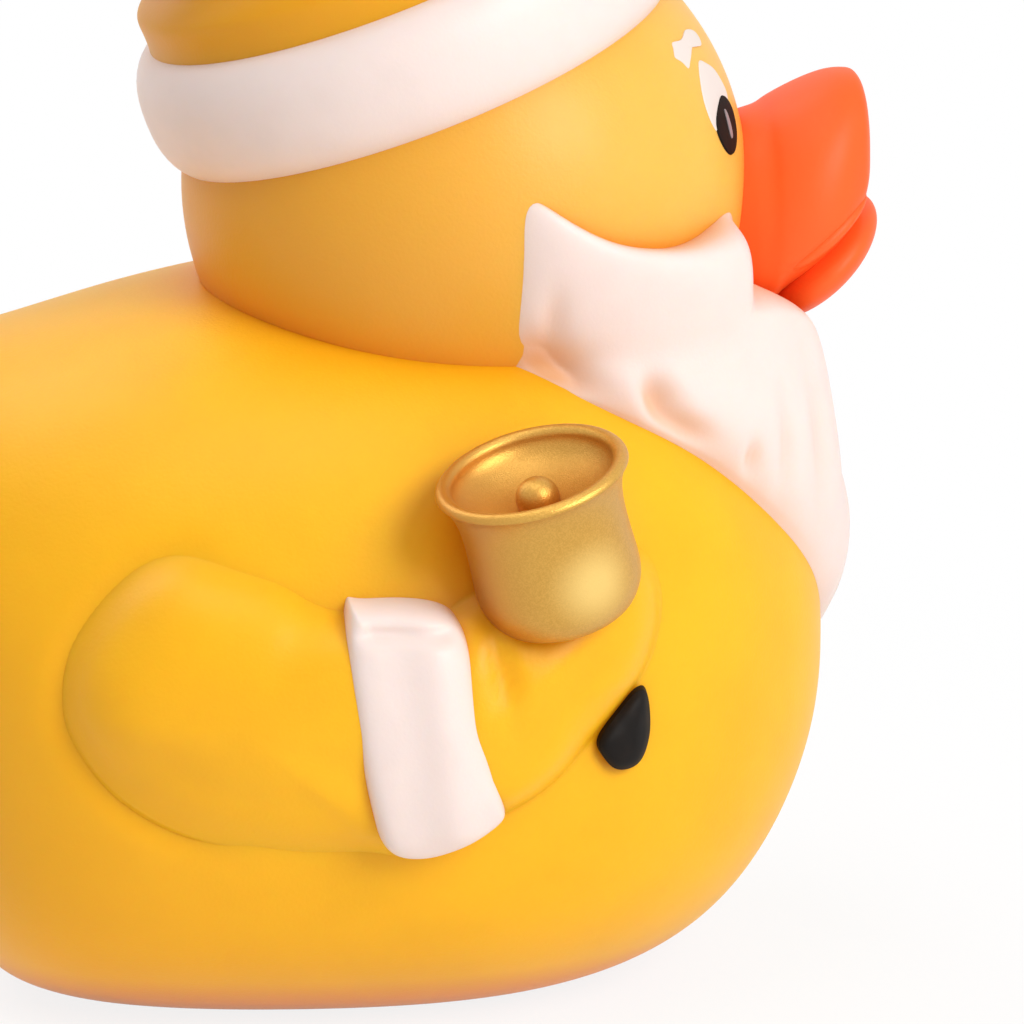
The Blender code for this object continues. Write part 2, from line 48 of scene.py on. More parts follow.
# The body: upright sections from the tail to the chest, as shares of the three sizes: how far along, lowest
# point, highest point, half width.
BODY_LENGTH = 87.1 * MM
BODY_HEIGHT = 61.0 * MM
BODY_WIDTH = 69.0 * MM
BASE_CUT = 3.0 * MM
BASE_ROUNDING = 0.4 * MM
BASE_CENTRE = 0.534
BODY_SHAPE = (
    (0.000, 0.925, 0.925, 0.000),
    (0.015, 0.862, 0.958, 0.095),
    (0.052, 0.705, 0.960, 0.205),
    (0.109, 0.440, 0.928, 0.400),
    (0.178, 0.150, 0.903, 0.660),
    (0.258, 0.046, 0.918, 0.840),
    (0.362, 0.021, 0.955, 0.945),
    (0.488, 0.013, 0.986, 1.000),
    (0.626, 0.014, 1.000, 1.000),
    (0.752, 0.034, 0.988, 0.916),
    (0.855, 0.088, 0.910, 0.748),
    (0.930, 0.190, 0.787, 0.545),
    (0.979, 0.336, 0.656, 0.313),
    (1.000, 0.485, 0.485, 0.000),
)
BODY_WIDEST = 0.46
BODY_SQUARENESS = 2.3

# The head ball.
HEAD_RADIUS = 22.6 * MM
HEAD_ALONG = 0.666
HEAD_RISE = 5.8 * MM

# The hat leans back. Its seat is where the band's lower edge meets the head.
HAT_TILT = math.radians(20.6)
HAT_SEAT = 10.0 * MM
BAND_RADIUS = 21.9 * MM
BAND_HEIGHT = 10.7 * MM
BAND_THICK = 7.6 * MM
BAND_DROP = 1.4 * MM
BAND_SQUARENESS = 2.4
# The crown: its root inside the band and its widest part above it are shares of its radius; it is full at a
# share of the band's height, then narrows and bends back over its reach.
CROWN_RADIUS = 20.1 * MM
CROWN_ROOT = 0.85
CROWN_FULL_AT = 0.3
CROWN_TUCK = 0.97
CROWN_REACH = 28.0 * MM
CROWN_SHAPE = (
    (0.00, 1.00, 0),
    (0.12, 0.985, 1),
    (0.34, 0.765, 17),
    (0.56, 0.48, 43),
    (0.78, 0.31, 74),
    (1.00, 0.20, 106),
)
POMPOM_RADIUS = 6.6 * MM
POMPOM_LUMP = 0.5 * MM
POMPOM_TUFT = 1.9 * MM
POMPOM_SEAT = 0.7

# The bill: sections from inside the head to the tip, as shares of reach, rise, drop and half width.
BILL_REACH = 10.0 * MM
BILL_RISE = 8.2 * MM
BILL_DROP = 10.6 * MM
BILL_WIDTH = 18.8 * MM
BILL_ROOT = 7.0 * MM
BILL_WIDEST = 0.3
BILL_SQUARENESS = 2.3
UPPER_BILL_SHAPE = (
    (-0.70, 0.45, 0.80, 0.70),
    (0.00, 0.62, 1.00, 0.90),
    (0.20, 0.72, 0.90, 0.97),
    (0.44, 0.87, 0.73, 1.00),
    (0.68, 0.98, 0.53, 0.92),
    (0.84, 1.00, 0.33, 0.77),
    (0.94, 0.88, 0.10, 0.56),
    (1.00, 0.36, -0.28, 0.00),
)
LIP_LENGTH = 13.0 * MM
LIP_WIDTH = 18.4 * MM
LIP_THICK = 3.2 * MM
LIP_FILL = 1.8 * MM
LIP_TILT = math.radians(43)
LIP_LEVEL = 3.2 * MM

# The bead along the mouth: share of the bill's reach, height from its root in millimetres.
BEAD_RADIUS = 0.5 * MM
BEAD_SINK = 0.08 * MM
BEAD_PATH = (
    (0.20, -6.2), (0.32, -5.6), (0.46, -4.6), (0.60, -3.5), (0.73, -2.4), (0.84, -1.5), (0.91, -0.9),
)

# The beard, as seen from a point inside the neck: share of its half span, and height in degrees.
BEARD_EYE_BACK = 5.5 * MM
BEARD_EYE_DOWN = 17.7 * MM
BEARD_PROUD = 1.5 * MM
BEARD_FULLNESS = 4.4 * MM
BEARD_SINK = 2.0 * MM
BEARD_GAP = 0.3 * MM
BEARD_LEAST = 0.45 * MM
BEARD_HALF_SPAN = 72.6
BEARD_LOWER_SQUARENESS = 3.2
BEARD_UPPER_SQUARENESS = 8
BEARD_BILL_SPAN = (0.25, 0.48)
BEARD_BILL_DEPTH = (0.12, 0.36)
BEARD_TOP = (
    (0.00, 20.0),
    (0.14, 22.0),
    (0.25, 31.5),
    (0.47, 31.2),
    (0.65, 31.9),
    (0.79, 34.9),
    (0.90, 39.3),
    (0.96, 41.6),
    (1.00, 40.5),
)
BEARD_BOTTOM = (
    (0.00, -31.0),
    (0.15, -26.5),
    (0.26, -20.6),
    (0.43, -10.5),
    (0.58, -2.0),
    (0.72, 4.7),
    (0.92, 14.5),
    (1.00, 20.0),
)
# Hollows between the beard's locks: how far across, how far down, half width, half height, depth.
BEARD_HOLLOWS = (
    (0.900, 0.86, 0.085, 0.15, 2.6 * MM),
    (0.915, 0.58, 0.030, 0.16, 0.8 * MM),
    (0.685, 0.80, 0.036, 0.13, 1.7 * MM),
    (0.625, 0.89, 0.050, 0.07, 1.5 * MM),
    (0.480, 0.87, 0.016, 0.07, 1.0 * MM),
    (0.400, 0.78, 0.020, 0.16, 0.6 * MM),
    (0.300, 0.70, 0.030, 0.20, 0.6 * MM),
    (0.080, 0.75, 0.030, 0.18, 0.7 * MM),
)
BEARD_SMOOTHING = 60
# How deep a beard hollow is when its painted shade is full.
BEARD_FULL_SHADE_DEPTH = 2.4 * MM

# The arms: a folded wing, a cuff and a fist, as outlines round the wrist on the body's side, in mm.
WRIST_ALONG = 0.581
WRIST_UP = 0.508
WING_PROUD = 3.2 * MM
GROOVE_DEPTH = 0.7 * MM
GROOVE_HALF_WIDTH = 1.5 * MM
GROOVE_BACK = 12 * MM
GROOVE_FADE = 8 * MM
WING_OUTLINE = (
    (1.5, 8.4), (-5.9, 10.0), (-10.0, 11.7), (-13.7, 12.8), (-17.4, 13.2), (-20.6, 12.3), (-23.5, 9.9),
    (-26.0, 6.3), (-26.8, 2.8), (-26.5, 0.1), (-25.0, -2.7), (-22.2, -5.5), (-18.0, -7.7), (-13.5, -8.9),
    (-8.1, -9.5), (-3.2, -9.6), (1.5, -9.0), (3.0, 0.0),
)
FIST_PROUD = 3.6 * MM
FIST_OUTLINE = (
    (-1.0, 5.0), (3.5, 10.1), (10.8, 13.1), (15.2, 13.0), (17.8, 11.6), (18.9, 8.6), (18.3, 5.3),
    (16.7, 2.6), (13.3, -0.8), (10.4, -3.8), (7.2, -5.8), (3.5, -6.6), (-1.0, -4.0),
)
CUFF_PROUD = 4.0 * MM
CUFF_OUTLINE = (
    (-5.8, 10.3), (-6.1, 7.4), (-5.9, 4.0), (-5.2, -1.0), (-4.1, -5.8), (-2.9, -8.4), (-1.0, -9.1),
    (1.3, -8.8), (4.0, -7.6), (5.8, -6.4), (6.0, -5.2), (5.3, -2.3), (4.1, 2.9), (3.5, 6.7),
    (3.0, 8.6), (2.2, 9.7), (0.6, 10.4), (-1.9, 10.7), (-4.2, 10.7), (-5.3, 10.8),
)
# The cuff's folds, in mm from the wrist: a ridge along it, a hollow under the rim, and where both fade out.
CUFF_RIDGE_HEIGHT = 0.8
CUFF_RIDGE_AT = 1.6
CUFF_RIDGE_LEAN = 0.12
CUFF_RIDGE_HALF = 2.2
CUFF_HOLLOW_DEPTH = 0.7
CUFF_HOLLOW_AT = (-1.5, 9.0)
CUFF_HOLLOW_HALF = (4.5, 0.7)
CUFF_HOLLOW_FADE = 2
CUFF_FOLDS_MIDDLE = 1.2
CUFF_FOLDS_HALF = 9.4
CUFF_FOLDS_FADE = 3
# The fist's folds, in mm from the wrist: the place, the two half widths, and the lean in radians.
THUMB_HEIGHT = 0.55
THUMB = (9.5, 5.5, 1.6, 7.0, -0.9)
DIMPLE_DEPTH = 0.8
DIMPLE = (5.9, 5.0, 0.9, 3.6, 0.2)
# A relief's rings: how near its middle they may run, how many close it, and where it levels out.
RELIEF_LIMIT = 0.8
RELIEF_INNER_RINGS = 9
RELIEF_LEVEL = 0.6
# How much wider the wing's lower edge is than its upper one, and over what height that comes in.
SOFTER_BELOW = 1.6
SOFTER_OVER = 9 * MM
# How a relief rises from its outline inwards: distance in from the outline in mm, share of its height.
SOFT_RISE = (
    (-0.8, -0.34), (-0.4, -0.20), (0.0, -0.08), (0.35, 0.05), (0.7, 0.20), (1.2, 0.40), (2.0, 0.61),
    (3.3, 0.81), (5.2, 0.94), (8.0, 1.00),
)
FIST_RISE = (
    (-1.2, -0.06), (-0.5, 0.00), (-0.1, 0.10), (0.3, 0.30), (0.9, 0.52), (1.9, 0.74), (3.2, 0.90),
    (5.0, 1.00),
)
CUFF_RISE = ((-0.1, -0.40), (0.0, 0.25), (0.08, 0.50), (0.30, 0.72), (0.8, 0.87), (1.8, 0.96), (3.4, 1.00))
KNOB_RISE = ((-0.1, -0.40), (0.0, 0.35), (0.12, 0.55), (0.5, 0.78), (1.1, 0.93), (1.9, 1.00))

# The bell in the duck's right fist, mouth up: its outline as shares of radius and height.
BELL_LEAN = Vector((-0.25, -0.17, 0.953)).normalized()
# The direction from the bell's axis to its painted highlight.
BELL_GLEAM = Vector((0.38, -0.92, -0.06))
BELL_HEIGHT = 13.0 * MM
BELL_MOUTH_RADIUS = 7.5 * MM
BELL_LIP = 1.2 * MM
BELL_BOWL_DEPTH = 2.7 * MM
# The gold's painted highlight, as shares of the mouth's radius and the height, and the span where its
# painted shade comes in.
BELL_HIGHLIGHT_OUT = 0.85
BELL_HIGHLIGHT_AT = 0.40
BELL_SHADE_START = 7.5 * MM
BELL_SHADE_END = 1 * MM
BELL_RISE = 6.6 * MM
GRIP_FORWARD = 13.0 * MM
GRIP_UP = 2.4 * MM
BELL_RIM = 0.97
BELL_SHAPE = (
    (0.30, 0.00),
    (0.62, 0.05),
    (0.78, 0.14),
    (0.85, 0.26),
    (0.85, 0.42),
    (0.84, 0.60),
    (0.86, 0.78),
    (0.93, 0.91),
    (1.00, BELL_RIM),
)
CLAPPER_RADIUS = 1.7 * MM
CLAPPER_RISE = 0.45
CLAPPER_STEM = 0.35
CLAPPER_ROOT = 1.2
HANDLE_RADIUS = 1.9 * MM
HANDLE_WAIST = 0.85
HANDLE_INTO_BELL = 0.2
KNOB_PROUD = 1.7 * MM
KNOB_OUTLINE = (
    (17.2, 2.2), (16.4, 1.8), (15.2, 0.6), (13.8, -1.2), (14.1, -2.6), (15.0, -3.7), (16.2, -4.0),
    (17.3, -3.5), (17.9, -2.2), (18.1, -0.8), (18.0, 0.9), (17.7, 2.0),
)

# The squeaker and its seat in the base.
SQUEAKER_BACK = 11.0 * MM
SQUEAKER_GAP = 0.3 * MM
NECK_RADIUS = 4.0 * MM
FLANGE_RADIUS = 5.6 * MM
FLANGE_THICK = 1.2 * MM
BARB_RADIUS = 4.6 * MM
BARB_LENGTH = 2.0 * MM
AIR_HOLE_RADIUS = 1.0 * MM
BOSS_HEIGHT = 4.6 * MM
SEAT_PLATE_RADIUS = 8.6 * MM
SEAT_OPENING = 1.6 * MM
SEAT_DEPTH = 1.0 * MM

# The painted eyes and brows, with a painted reflection on each pupil: outlines on the head ball, as bearing
# off the nose and height, in degrees.
EYE_WHITE = (
    (28.1, 28.9), (24.6, 28.6), (20.6, 26.4), (18.5, 23.0), (18.4, 20.0), (23.0, 17.0), (28.5, 14.5),
    (31.9, 15.4), (33.4, 19.0), (32.4, 24.2),
)
PUPIL = (
    (22.4, 20.9), (19.0, 18.6), (18.4, 15.6), (20.0, 12.2), (23.3, 9.7), (26.8, 9.3), (30.1, 11.7),
    (31.6, 15.6), (29.6, 18.4), (26.2, 20.3),
)
GLINT = (
    (25.0, 18.4), (24.0, 17.4), (23.7, 15.0), (24.0, 12.9), (24.9, 12.2), (25.5, 13.4), (25.4, 16.6),
)
BROW = (
    (36.4, 33.6), (35.2, 34.9), (31.1, 34.7), (27.3, 35.5), (23.4, 35.9), (18.5, 34.2), (20.4, 31.6),
    (25.8, 32.4), (29.9, 31.1), (32.8, 29.6), (34.4, 28.9), (35.7, 30.5), (37.6, 31.9),
)
PAINT_THICK = 0.06 * MM

# How rough and how shiny the vinyl and its paints are, and how finely the painted shade in their creases is
# sampled.
ROUGHNESS = 0.42
SHINE = 0.3
CREASE_SAMPLES = 3

# The camera of the photograph, as bearing and height in degrees, and what it looks at.
CAMERA_BEARING = math.radians(-7.4)
CAMERA_HEIGHT = math.radians(15.2)
CAMERA_DISTANCE = 550 * MM
VIEW_SIZE = 81.92 * MM
VIEW_RIGHT_OF_HEAD = 3.84 * MM
VIEW_BELOW_HEAD = 26.56 * MM
SENSOR = 36.0

# How much of the floor under the duck is seen as plain white, the rest showing the shadow; its half width.
FLOOR_VEIL = 0.85
FLOOR_HALF = 3.0

# The soft light from all round, and the lamps: name, place, size across in metres, and power in watts.
WORLD_FILL = 0.40
LAMP_TARGET = Vector((0, 0, 0.04))
LAMPS = (
    ("key", (0.45, -0.60, 0.50), 0.5, 5.2),
    ("top", (-0.15, -0.20, 0.95), 0.5, 1.4),
    ("rear", (-0.45, 0.45, 0.65), 0.6, 2.4),
)


# Curves

def through(keys, where):
    """Points on a smooth curve through the keys, at places counted in keys from 0."""
    keys = np.asarray(keys, float)
    count = len(keys)
    system = np.diag(np.full(count, 4.0)) + np.diag(np.ones(count - 1), 1) + np.diag(np.ones(count - 1), -1)
    system[0, 0] = system[-1, -1] = 2
    padded = np.concatenate([keys[:1], keys, keys[-1:]])
    slopes = np.linalg.solve(system, 3 * (padded[2:] - padded[:-2]))
    return hermite(keys, slopes, np.asarray(where, float))


def hermite(keys, slopes, where):
    start = np.clip(where.astype(int), 0, len(keys) - 2)
    u = (where - start)[:, None]
    step = keys[start + 1] - keys[start]
    first, second = slopes[start], slopes[start + 1]
    return keys[start] + u * (first + u * (3 * step - 2 * first - second + u * (first + second - 2 * step)))


def round_through(points, count):
    """Count points round a smooth closed curve through the given points."""
    turns = np.concatenate([points] * 3)
    size = len(points)
    return through(turns, size + np.arange(count) * size / count)


def value_at(keys, x):
    """The keys' smooth curve as a function: the second value where the first is x."""
    dense = through(keys, np.linspace(0, len(keys) - 1, 600))
    return np.interp(x, dense[:, 0], dense[:, 1])


def power(value, exponent):
    return np.sign(value) * np.abs(value) ** exponent


def superellipse(count, half_a, half_b, squareness):
    angle = 2 * math.pi * np.arange(count) / count
    across = half_a * power(np.cos(angle), 2 / squareness)
    up = half_b * power(np.sin(angle), 2 / squareness)
    return np.stack([across, up], axis=1)


def smooth_step(value):
    value = np.clip(value, 0, 1)
    return value * value * (3 - 2 * value)


def step_between(value, start, end):
    return smooth_step((value - start) / (end - start))


# Meshes

def new_piece(name, verts, faces, material, node="duck_shell", sharp=60):
    """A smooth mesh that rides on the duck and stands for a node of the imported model."""
    mesh = bpy.data.meshes.new(name)
    mesh.from_pydata([tuple(v) for v in verts], [], [tuple(f) for f in faces])
    mesh.validate()
    mesh.materials.append(material)
    mesh.shade_smooth()
    mesh.set_sharp_from_angle(angle=math.radians(sharp))
    obj = bpy.data.objects.new(name, mesh)
    bpy.context.scene.collection.objects.link(obj)
    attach(obj, "root")
    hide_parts(node)
    return obj


def ring_faces(rows, columns, loop=False):
    """Quads between rows of vertices; loop joins the last row to the first."""
    faces = []
    for i in range(rows if loop else rows - 1):
        here = i * columns
        after = ((i + 1) % rows) * columns
        for j in range(columns):
            k = (j + 1) % columns
            faces.append((here + j, here + k, after + k, after + j))
    return faces


def skin(rings, loop=False, start=None, end=None):
    """Vertices and faces of a tube over rings, closed at a start and an end point where they are given."""
    rows, columns = rings.shape[:2]
    verts = [tuple(p) for p in rings.reshape(-1, 3)]
    faces = ring_faces(rows, columns, loop)
    if start is not None:
        verts.append(tuple(start))
        faces += [((j + 1) % columns, j, len(verts) - 1) for j in range(columns)]
    if end is not None:
        verts.append(tuple(end))
        last = (rows - 1) * columns
        faces += [(last + j, last + (j + 1) % columns, len(verts) - 1) for j in range(columns)]
    return verts, faces


def turned(profile, origin, axis, sides, loop=False):
    """A solid of revolution: (radius, height) along the axis, from the origin. Radius 0 is a pole."""
    turn = np.array(axis.to_track_quat("Z", "Y").to_matrix())
    angle = 2 * math.pi * np.arange(sides) / sides
    around = np.stack([np.cos(angle), np.sin(angle), np.zeros(sides)], axis=1)
    points = [np.array(origin) + (radius * around + (0, 0, height)) @ turn.T for radius, height in profile]
    start = end = None
    if profile[0][0] == 0:
        start = points.pop(0)[0]
    if profile[-1][0] == 0:
        end = points.pop()[0]
    return skin(np.array(points), loop, start, end)


def smoothed(values, passes):
    """The row of values with its kinks rounded off, and its two ends kept."""
    for _ in range(passes):
        inner = (values[:-2] + 2 * values[1:-1] + values[2:]) / 4
        values = np.concatenate([values[:1], inner, values[-1:]])
    return values


def tree_of(verts, faces):
    return BVHTree.FromPolygons([Vector(v) for v in verts], faces)


# Materials

class Shader:
    """A node material under construction: adds nodes and joins them by socket name."""

    def __init__(self, name, roughness):
        self.material = bpy.data.materials.new(name)
        self.material.use_nodes = True
        self.tree = self.material.node_tree
        self.surface = self.tree.nodes["Principled BSDF"]
        self.surface.inputs["Roughness"].default_value = roughness
        self.place = self.add("ShaderNodeTexCoord").outputs["Object"]

    def add(self, kind, **values):
        node = self.tree.nodes.new(kind)
        for key, value in values.items():
            setattr(node, key, value)
        return node

    def join(self, source, socket):
        self.tree.links.new(source, socket)

    def noise(self, size, detail=2.0):
        """Noise with features about that size, from 0 to 1."""
        node = self.add("ShaderNodeTexNoise")
        node.inputs["Scale"].default_value = 1 / size
        node.inputs["Detail"].default_value = detail
        self.join(self.place, node.inputs["Vector"])
        return node.outputs["Fac"]

    def along(self, direction, start, end):
        """0 to 1 with the place along a direction."""
        dot = self.add("ShaderNodeVectorMath", operation="DOT_PRODUCT")
        dot.inputs[1].default_value = direction
        self.join(self.place, dot.inputs[0])
        return self.ranged(dot.outputs["Value"], start, end)

    def away_from(self, place):
        """The distance from a place."""
        node = self.add("ShaderNodeVectorMath", operation="DISTANCE")
        node.inputs[1].default_value = place
        self.join(self.place, node.inputs[0])
        return node.outputs["Value"]

    def openness(self, reach, start, end):
        """0 in creases narrower than the reach, 1 on open surfaces."""
        node = self.add("ShaderNodeAmbientOcclusion", samples=CREASE_SAMPLES)
        node.inputs["Distance"].default_value = reach
        return self.ranged(node.outputs["AO"], start, end)

    def ranged(self, source, start, end, low=0.0, high=1.0):
        """From low at the start to high at the end, with soft ends."""
        node = self.add("ShaderNodeMapRange", interpolation_type="SMOOTHSTEP")
        node.inputs["From Min"].default_value = start
        node.inputs["From Max"].default_value = end
        node.inputs["To Min"].default_value = low
        node.inputs["To Max"].default_value = high
        self.join(source, node.inputs["Value"])
        return node.outputs["Result"]

    def mix(self, factor, low, high):
        """Between two colours; each is a colour or a socket."""
        node = self.add("ShaderNodeMix", data_type="RGBA")
        self.join(factor, node.inputs["Factor"])
        for value, socket in ((low, node.inputs[6]), (high, node.inputs[7])):
            if isinstance(value, tuple):
                socket.default_value = (*value, 1)
            else:
                self.join(value, socket)
        return node.outputs[2]

    def colour(self, source):
        self.join(source, self.surface.inputs["Base Color"])

    def bump(self, source, depth, strength=1.0):
        node = self.add("ShaderNodeBump")
        node.inputs["Distance"].default_value = depth
        node.inputs["Strength"].default_value = strength
        self.join(source, node.inputs["Height"])
        earlier = self.surface.inputs["Normal"].links
        if earlier:
            self.join(earlier[0].from_socket, node.inputs["Normal"])
        self.join(node.outputs["Normal"], self.surface.inputs["Normal"])

    def glow_through(self, weight, depth, red_green_blue):
        """Light that enters the vinyl and comes out nearby."""
        self.surface.inputs["Subsurface Weight"].default_value = weight
        self.surface.inputs["Subsurface Scale"].default_value = depth
        self.surface.inputs["Subsurface Radius"].default_value = red_green_blue


def vinyl(name, open_colour, crease_shade_colour, mottle_colour, painted_shade_colour, painted_shade, reach=6 * MM):
    """Dyed vinyl: a fine moulded grain, cloudy colour, painted shade towards one side, and painted orange
    shade where surfaces meet.
    """
    shader = Shader(name, ROUGHNESS)
    base = shader.mix(shader.ranged(shader.noise(9 * MM, 3), 0.35, 0.75), open_colour, mottle_colour)
    # Painted shade: darker towards one side, where less light falls.
    base = shader.mix(shader.along(*painted_shade), painted_shade_colour, base)
    # Painted orange shade in the creases where surfaces meet.
    shader.colour(shader.mix(shader.openness(reach, 0.24, 0.90), crease_shade_colour, base))
    shader.bump(shader.noise(0.30 * MM, 2), 0.02 * MM)
    shader.bump(shader.noise(6 * MM, 2), 0.06 * MM)
    shader.surface.inputs["Specular IOR Level"].default_value = SHINE
    shader.glow_through(0.30, 3.5 * MM, (1.0, 0.40, 0.06))
    return shader.material


def paint(
    name, open_colour, crease_shade_colour, reach=3 * MM, crease=(0.2, 0.8), roughness=ROUGHNESS,
    through_weight=0.15, shade_share_attribute=None, hollow_shade_colour=None
):
    """Sprayed paint over the vinyl, with painted warm shade in the creases and painted shade where a share
    kept on the mesh asks for it.
    """
    shader = Shader(name, roughness)
    mottle_and_shade = tuple(0.97 * channel for channel in open_colour)
    base = shader.mix(shader.ranged(shader.noise(4 * MM, 3), 0.4, 0.8), open_colour, mottle_and_shade)
    # Painted shade where the share kept on the mesh says, as in the beard's hollows.
    if shade_share_attribute:
        share = shader.add("ShaderNodeAttribute", attribute_name=shade_share_attribute).outputs["Fac"]
        base = shader.mix(share, base, hollow_shade_colour)
    # Painted warm shade in the creases.
    shader.colour(shader.mix(shader.openness(reach, *crease), crease_shade_colour, base))
    shader.bump(shader.noise(0.3 * MM, 2), 0.012 * MM)
    shader.surface.inputs["Specular IOR Level"].default_value = SHINE
    shader.glow_through(through_weight, 1.5 * MM, (1.0, 0.5, 0.25))
    return shader.material


def gold_paint(painted_highlight_place, painted_shade):
    """Metallic paint: bright flakes in a warm lacquer, a painted highlight round a place, painted shade to
    one side, and painted shade in the creases.
    """
    shader = Shader("gold_paint", 0.36)
    shader.surface.inputs["Metallic"].default_value = 0.7
    cells = shader.add("ShaderNodeTexVoronoi")
    cells.inputs["Scale"].default_value = 1 / (0.10 * MM)
    shader.join(shader.place, cells.inputs["Vector"])
    flakes = shader.ranged(cells.outputs["Color"], 0.2, 0.9)
    base = shader.mix(flakes, (0.61, 0.33, 0.06), (0.70, 0.39, 0.08))
    # Painted highlight round the given place.
    light = shader.ranged(shader.away_from(painted_highlight_place), 0.5 * MM, 4.4 * MM, 1.0, 0.0)
    base = shader.mix(light, base, (0.92, 0.62, 0.19))
    # Painted shade to one side.
    base = shader.mix(shader.along(*painted_shade), (0.58, 0.28, 0.05), base)
    # Painted shade in the creases.
    shader.colour(shader.mix(shader.openness(9 * MM, 0.12, 0.85), (0.50, 0.17, 0.02), base))
    shader.bump(cells.outputs["Distance"], 0.03 * MM, 0.6)
    return shader.material


def black_paint(name, roughness, specular):
    shader = Shader(name, roughness)
    shader.surface.inputs["Specular IOR Level"].default_value = specular
    cloud = shader.ranged(shader.noise(2 * MM, 2), 0.3, 0.8)
    shader.colour(shader.mix(cloud, (0.010, 0.008, 0.007), (0.018, 0.012, 0.009)))
    shader.bump(shader.noise(1.2 * MM, 2), 0.02 * MM)
    return shader.material


# Each vinyl: open colour, painted crease shade, mottle, painted shade colour, and the direction and span
# where that painted shade comes in; the body is darker towards its back and bottom, the head and hat towards
# the back.
YELLOW = vinyl(
    "yellow_vinyl", (0.95, 0.48, 0.006), (0.82, 0.26, 0.002), (0.90, 0.45, 0.005),
    (0.86, 0.39, 0.004), ((0.9, -0.1, 0.45), -0.035, 0.02),
)
PALE = vinyl(
    "pale_vinyl", (0.91, 0.50, 0.09), (0.86, 0.26, 0.012), (0.90, 0.48, 0.08),
    (0.80, 0.37, 0.03), ((1.0, 0.0, 0.15), 0.004, 0.044),
)
HAT_YELLOW = vinyl(
    "hat_vinyl", (0.88, 0.41, 0.006), (0.66, 0.22, 0.004), (0.84, 0.38, 0.006),
    (0.76, 0.33, 0.006), ((1.0, 0.0, 0.0), -0.012, 0.022), reach=2.5 * MM,
)
# Each paint: its colour, then its painted shade in the creases.
WHITE = paint("white_paint", (0.86, 0.715, 0.665), (0.80, 0.42, 0.20))
BEARD_WHITE = paint(
    "beard_paint", (0.87, 0.71, 0.655), (0.78, 0.38, 0.17), reach=7 * MM, crease=(0.45, 0.95),
    shade_share_attribute="hollow", hollow_shade_colour=(0.80, 0.42, 0.22),
)
ORANGE = paint("orange_paint", (1.0, 0.122, 0.016), (1.0, 0.122, 0.016), roughness=0.5)
EYE_PAINT = paint("eye_paint", (0.80, 0.69, 0.63), (0.80, 0.66, 0.56), roughness=0.3, through_weight=0.0)
BLACK = black_paint("black_paint", 0.55, 0.12)
PUPIL_BLACK = black_paint("pupil_black", 0.55, 0.05)
GLINT_GREY = paint("glint_reflection", (0.30, 0.27, 0.28), (0.2, 0.17, 0.17), roughness=0.3, through_weight=0.0)
SQUEAKER_WHITE = paint("squeaker_plastic", (0.80, 0.79, 0.76), (0.6, 0.55, 0.5), roughness=0.3)


# The body

def body_section(along):
    """Lowest and highest point and half width of the body at a share of its length, in metres."""
    dense = through(BODY_SHAPE, np.linspace(0, len(BODY_SHAPE) - 1, 1200))
    low, high, half = (np.interp(along, dense[:, 0], dense[:, k]) for k in (1, 2, 3))
    return low * BODY_HEIGHT - BASE_CUT, high * BODY_HEIGHT - BASE_CUT, half * BODY_WIDTH / 2


def body_x(along):
    return (along - BASE_CENTRE) * BODY_LENGTH


def body_side(x, z):
    """How far the body's surface stands out from the middle plane, at places on its side."""
    low, high, half = body_section(x / BODY_LENGTH + BASE_CENTRE)
    widest = low + BODY_WIDEST * (high - low)
    reach = np.where(z > widest, high - widest, widest - low)
    share = np.clip(np.abs(z - widest) / reach, 0, 1)
    return half * (1 - share**BODY_SQUARENESS) ** (1 / BODY_SQUARENESS)


def wrist():
    return np.array([body_x(WRIST_ALONG), WRIST_UP * BODY_HEIGHT - BASE_CUT])


def body_grid(rows, sides):
    """Rings of the body's skin, and its two end points."""
    places = np.linspace(0, len(BODY_SHAPE) - 1, rows + 2)
    shape = through(BODY_SHAPE, places)
    x = body_x(shape[:, 0])
    low = shape[:, 1] * BODY_HEIGHT - BASE_CUT
    high = shape[:, 2] * BODY_HEIGHT - BASE_CUT
    half = np.maximum(shape[:, 3], 0) * BODY_WIDTH / 2
    widest = low + BODY_WIDEST * (high - low)
    unit = superellipse(sides, 1, 1, BODY_SQUARENESS)
    across = half[:, None] * unit[None, :, 0]
    reach = np.where(unit[None, :, 1] > 0, (high - widest)[:, None], (widest - low)[:, None])
    up = widest[:, None] + unit[None, :, 1] * reach
    up = (up + np.sqrt(up**2 + BASE_ROUNDING**2)) / 2
    grid = np.stack([np.broadcast_to(x[:, None], up.shape), across, up], axis=2)
    return grid[1:-1], grid[0, 0], grid[-1, 0]


def squeaker_place():
    return Vector((-SQUEAKER_BACK, 0, 0))


def wing_groove(x, z):
    """How deep the body is pressed in round the back of the folded wing."""
    line = round_through(np.array(WING_OUTLINE) * MM, 160) + wrist()
    place = np.stack([x, z], axis=1)
    apart = np.array([np.hypot(*(line - point).T).min() for point in place])
    depth = GROOVE_DEPTH * np.exp(-((apart / GROOVE_HALF_WIDTH) ** 2))
    behind = smooth_step((wrist()[0] - GROOVE_BACK - x) / GROOVE_FADE)
    return depth * behind


def body_piece():
    grid, tail, chest = body_grid(260, 280)
    verts, faces = skin(grid, start=tail, end=chest)
    points = np.array(verts)
    points[:, 1] -= np.sign(points[:, 1]) * wing_groove(points[:, 0], points[:, 2])
    verts = [tuple(point) for point in points]
    from_squeaker = np.hypot(points[:, 0] + SQUEAKER_BACK, points[:, 1])
    seat = (from_squeaker < FLANGE_RADIUS + SEAT_OPENING) & (points[:, 2] < SEAT_DEPTH)
    faces = [face for face in faces if not any(seat[v] for v in face)]
    return new_piece("body_skin", verts, faces, YELLOW)


# The head and the hat

def head_centre():
    top = body_section(HEAD_ALONG)[1]
    return Vector((body_x(HEAD_ALONG), 0, top + HEAD_RISE))


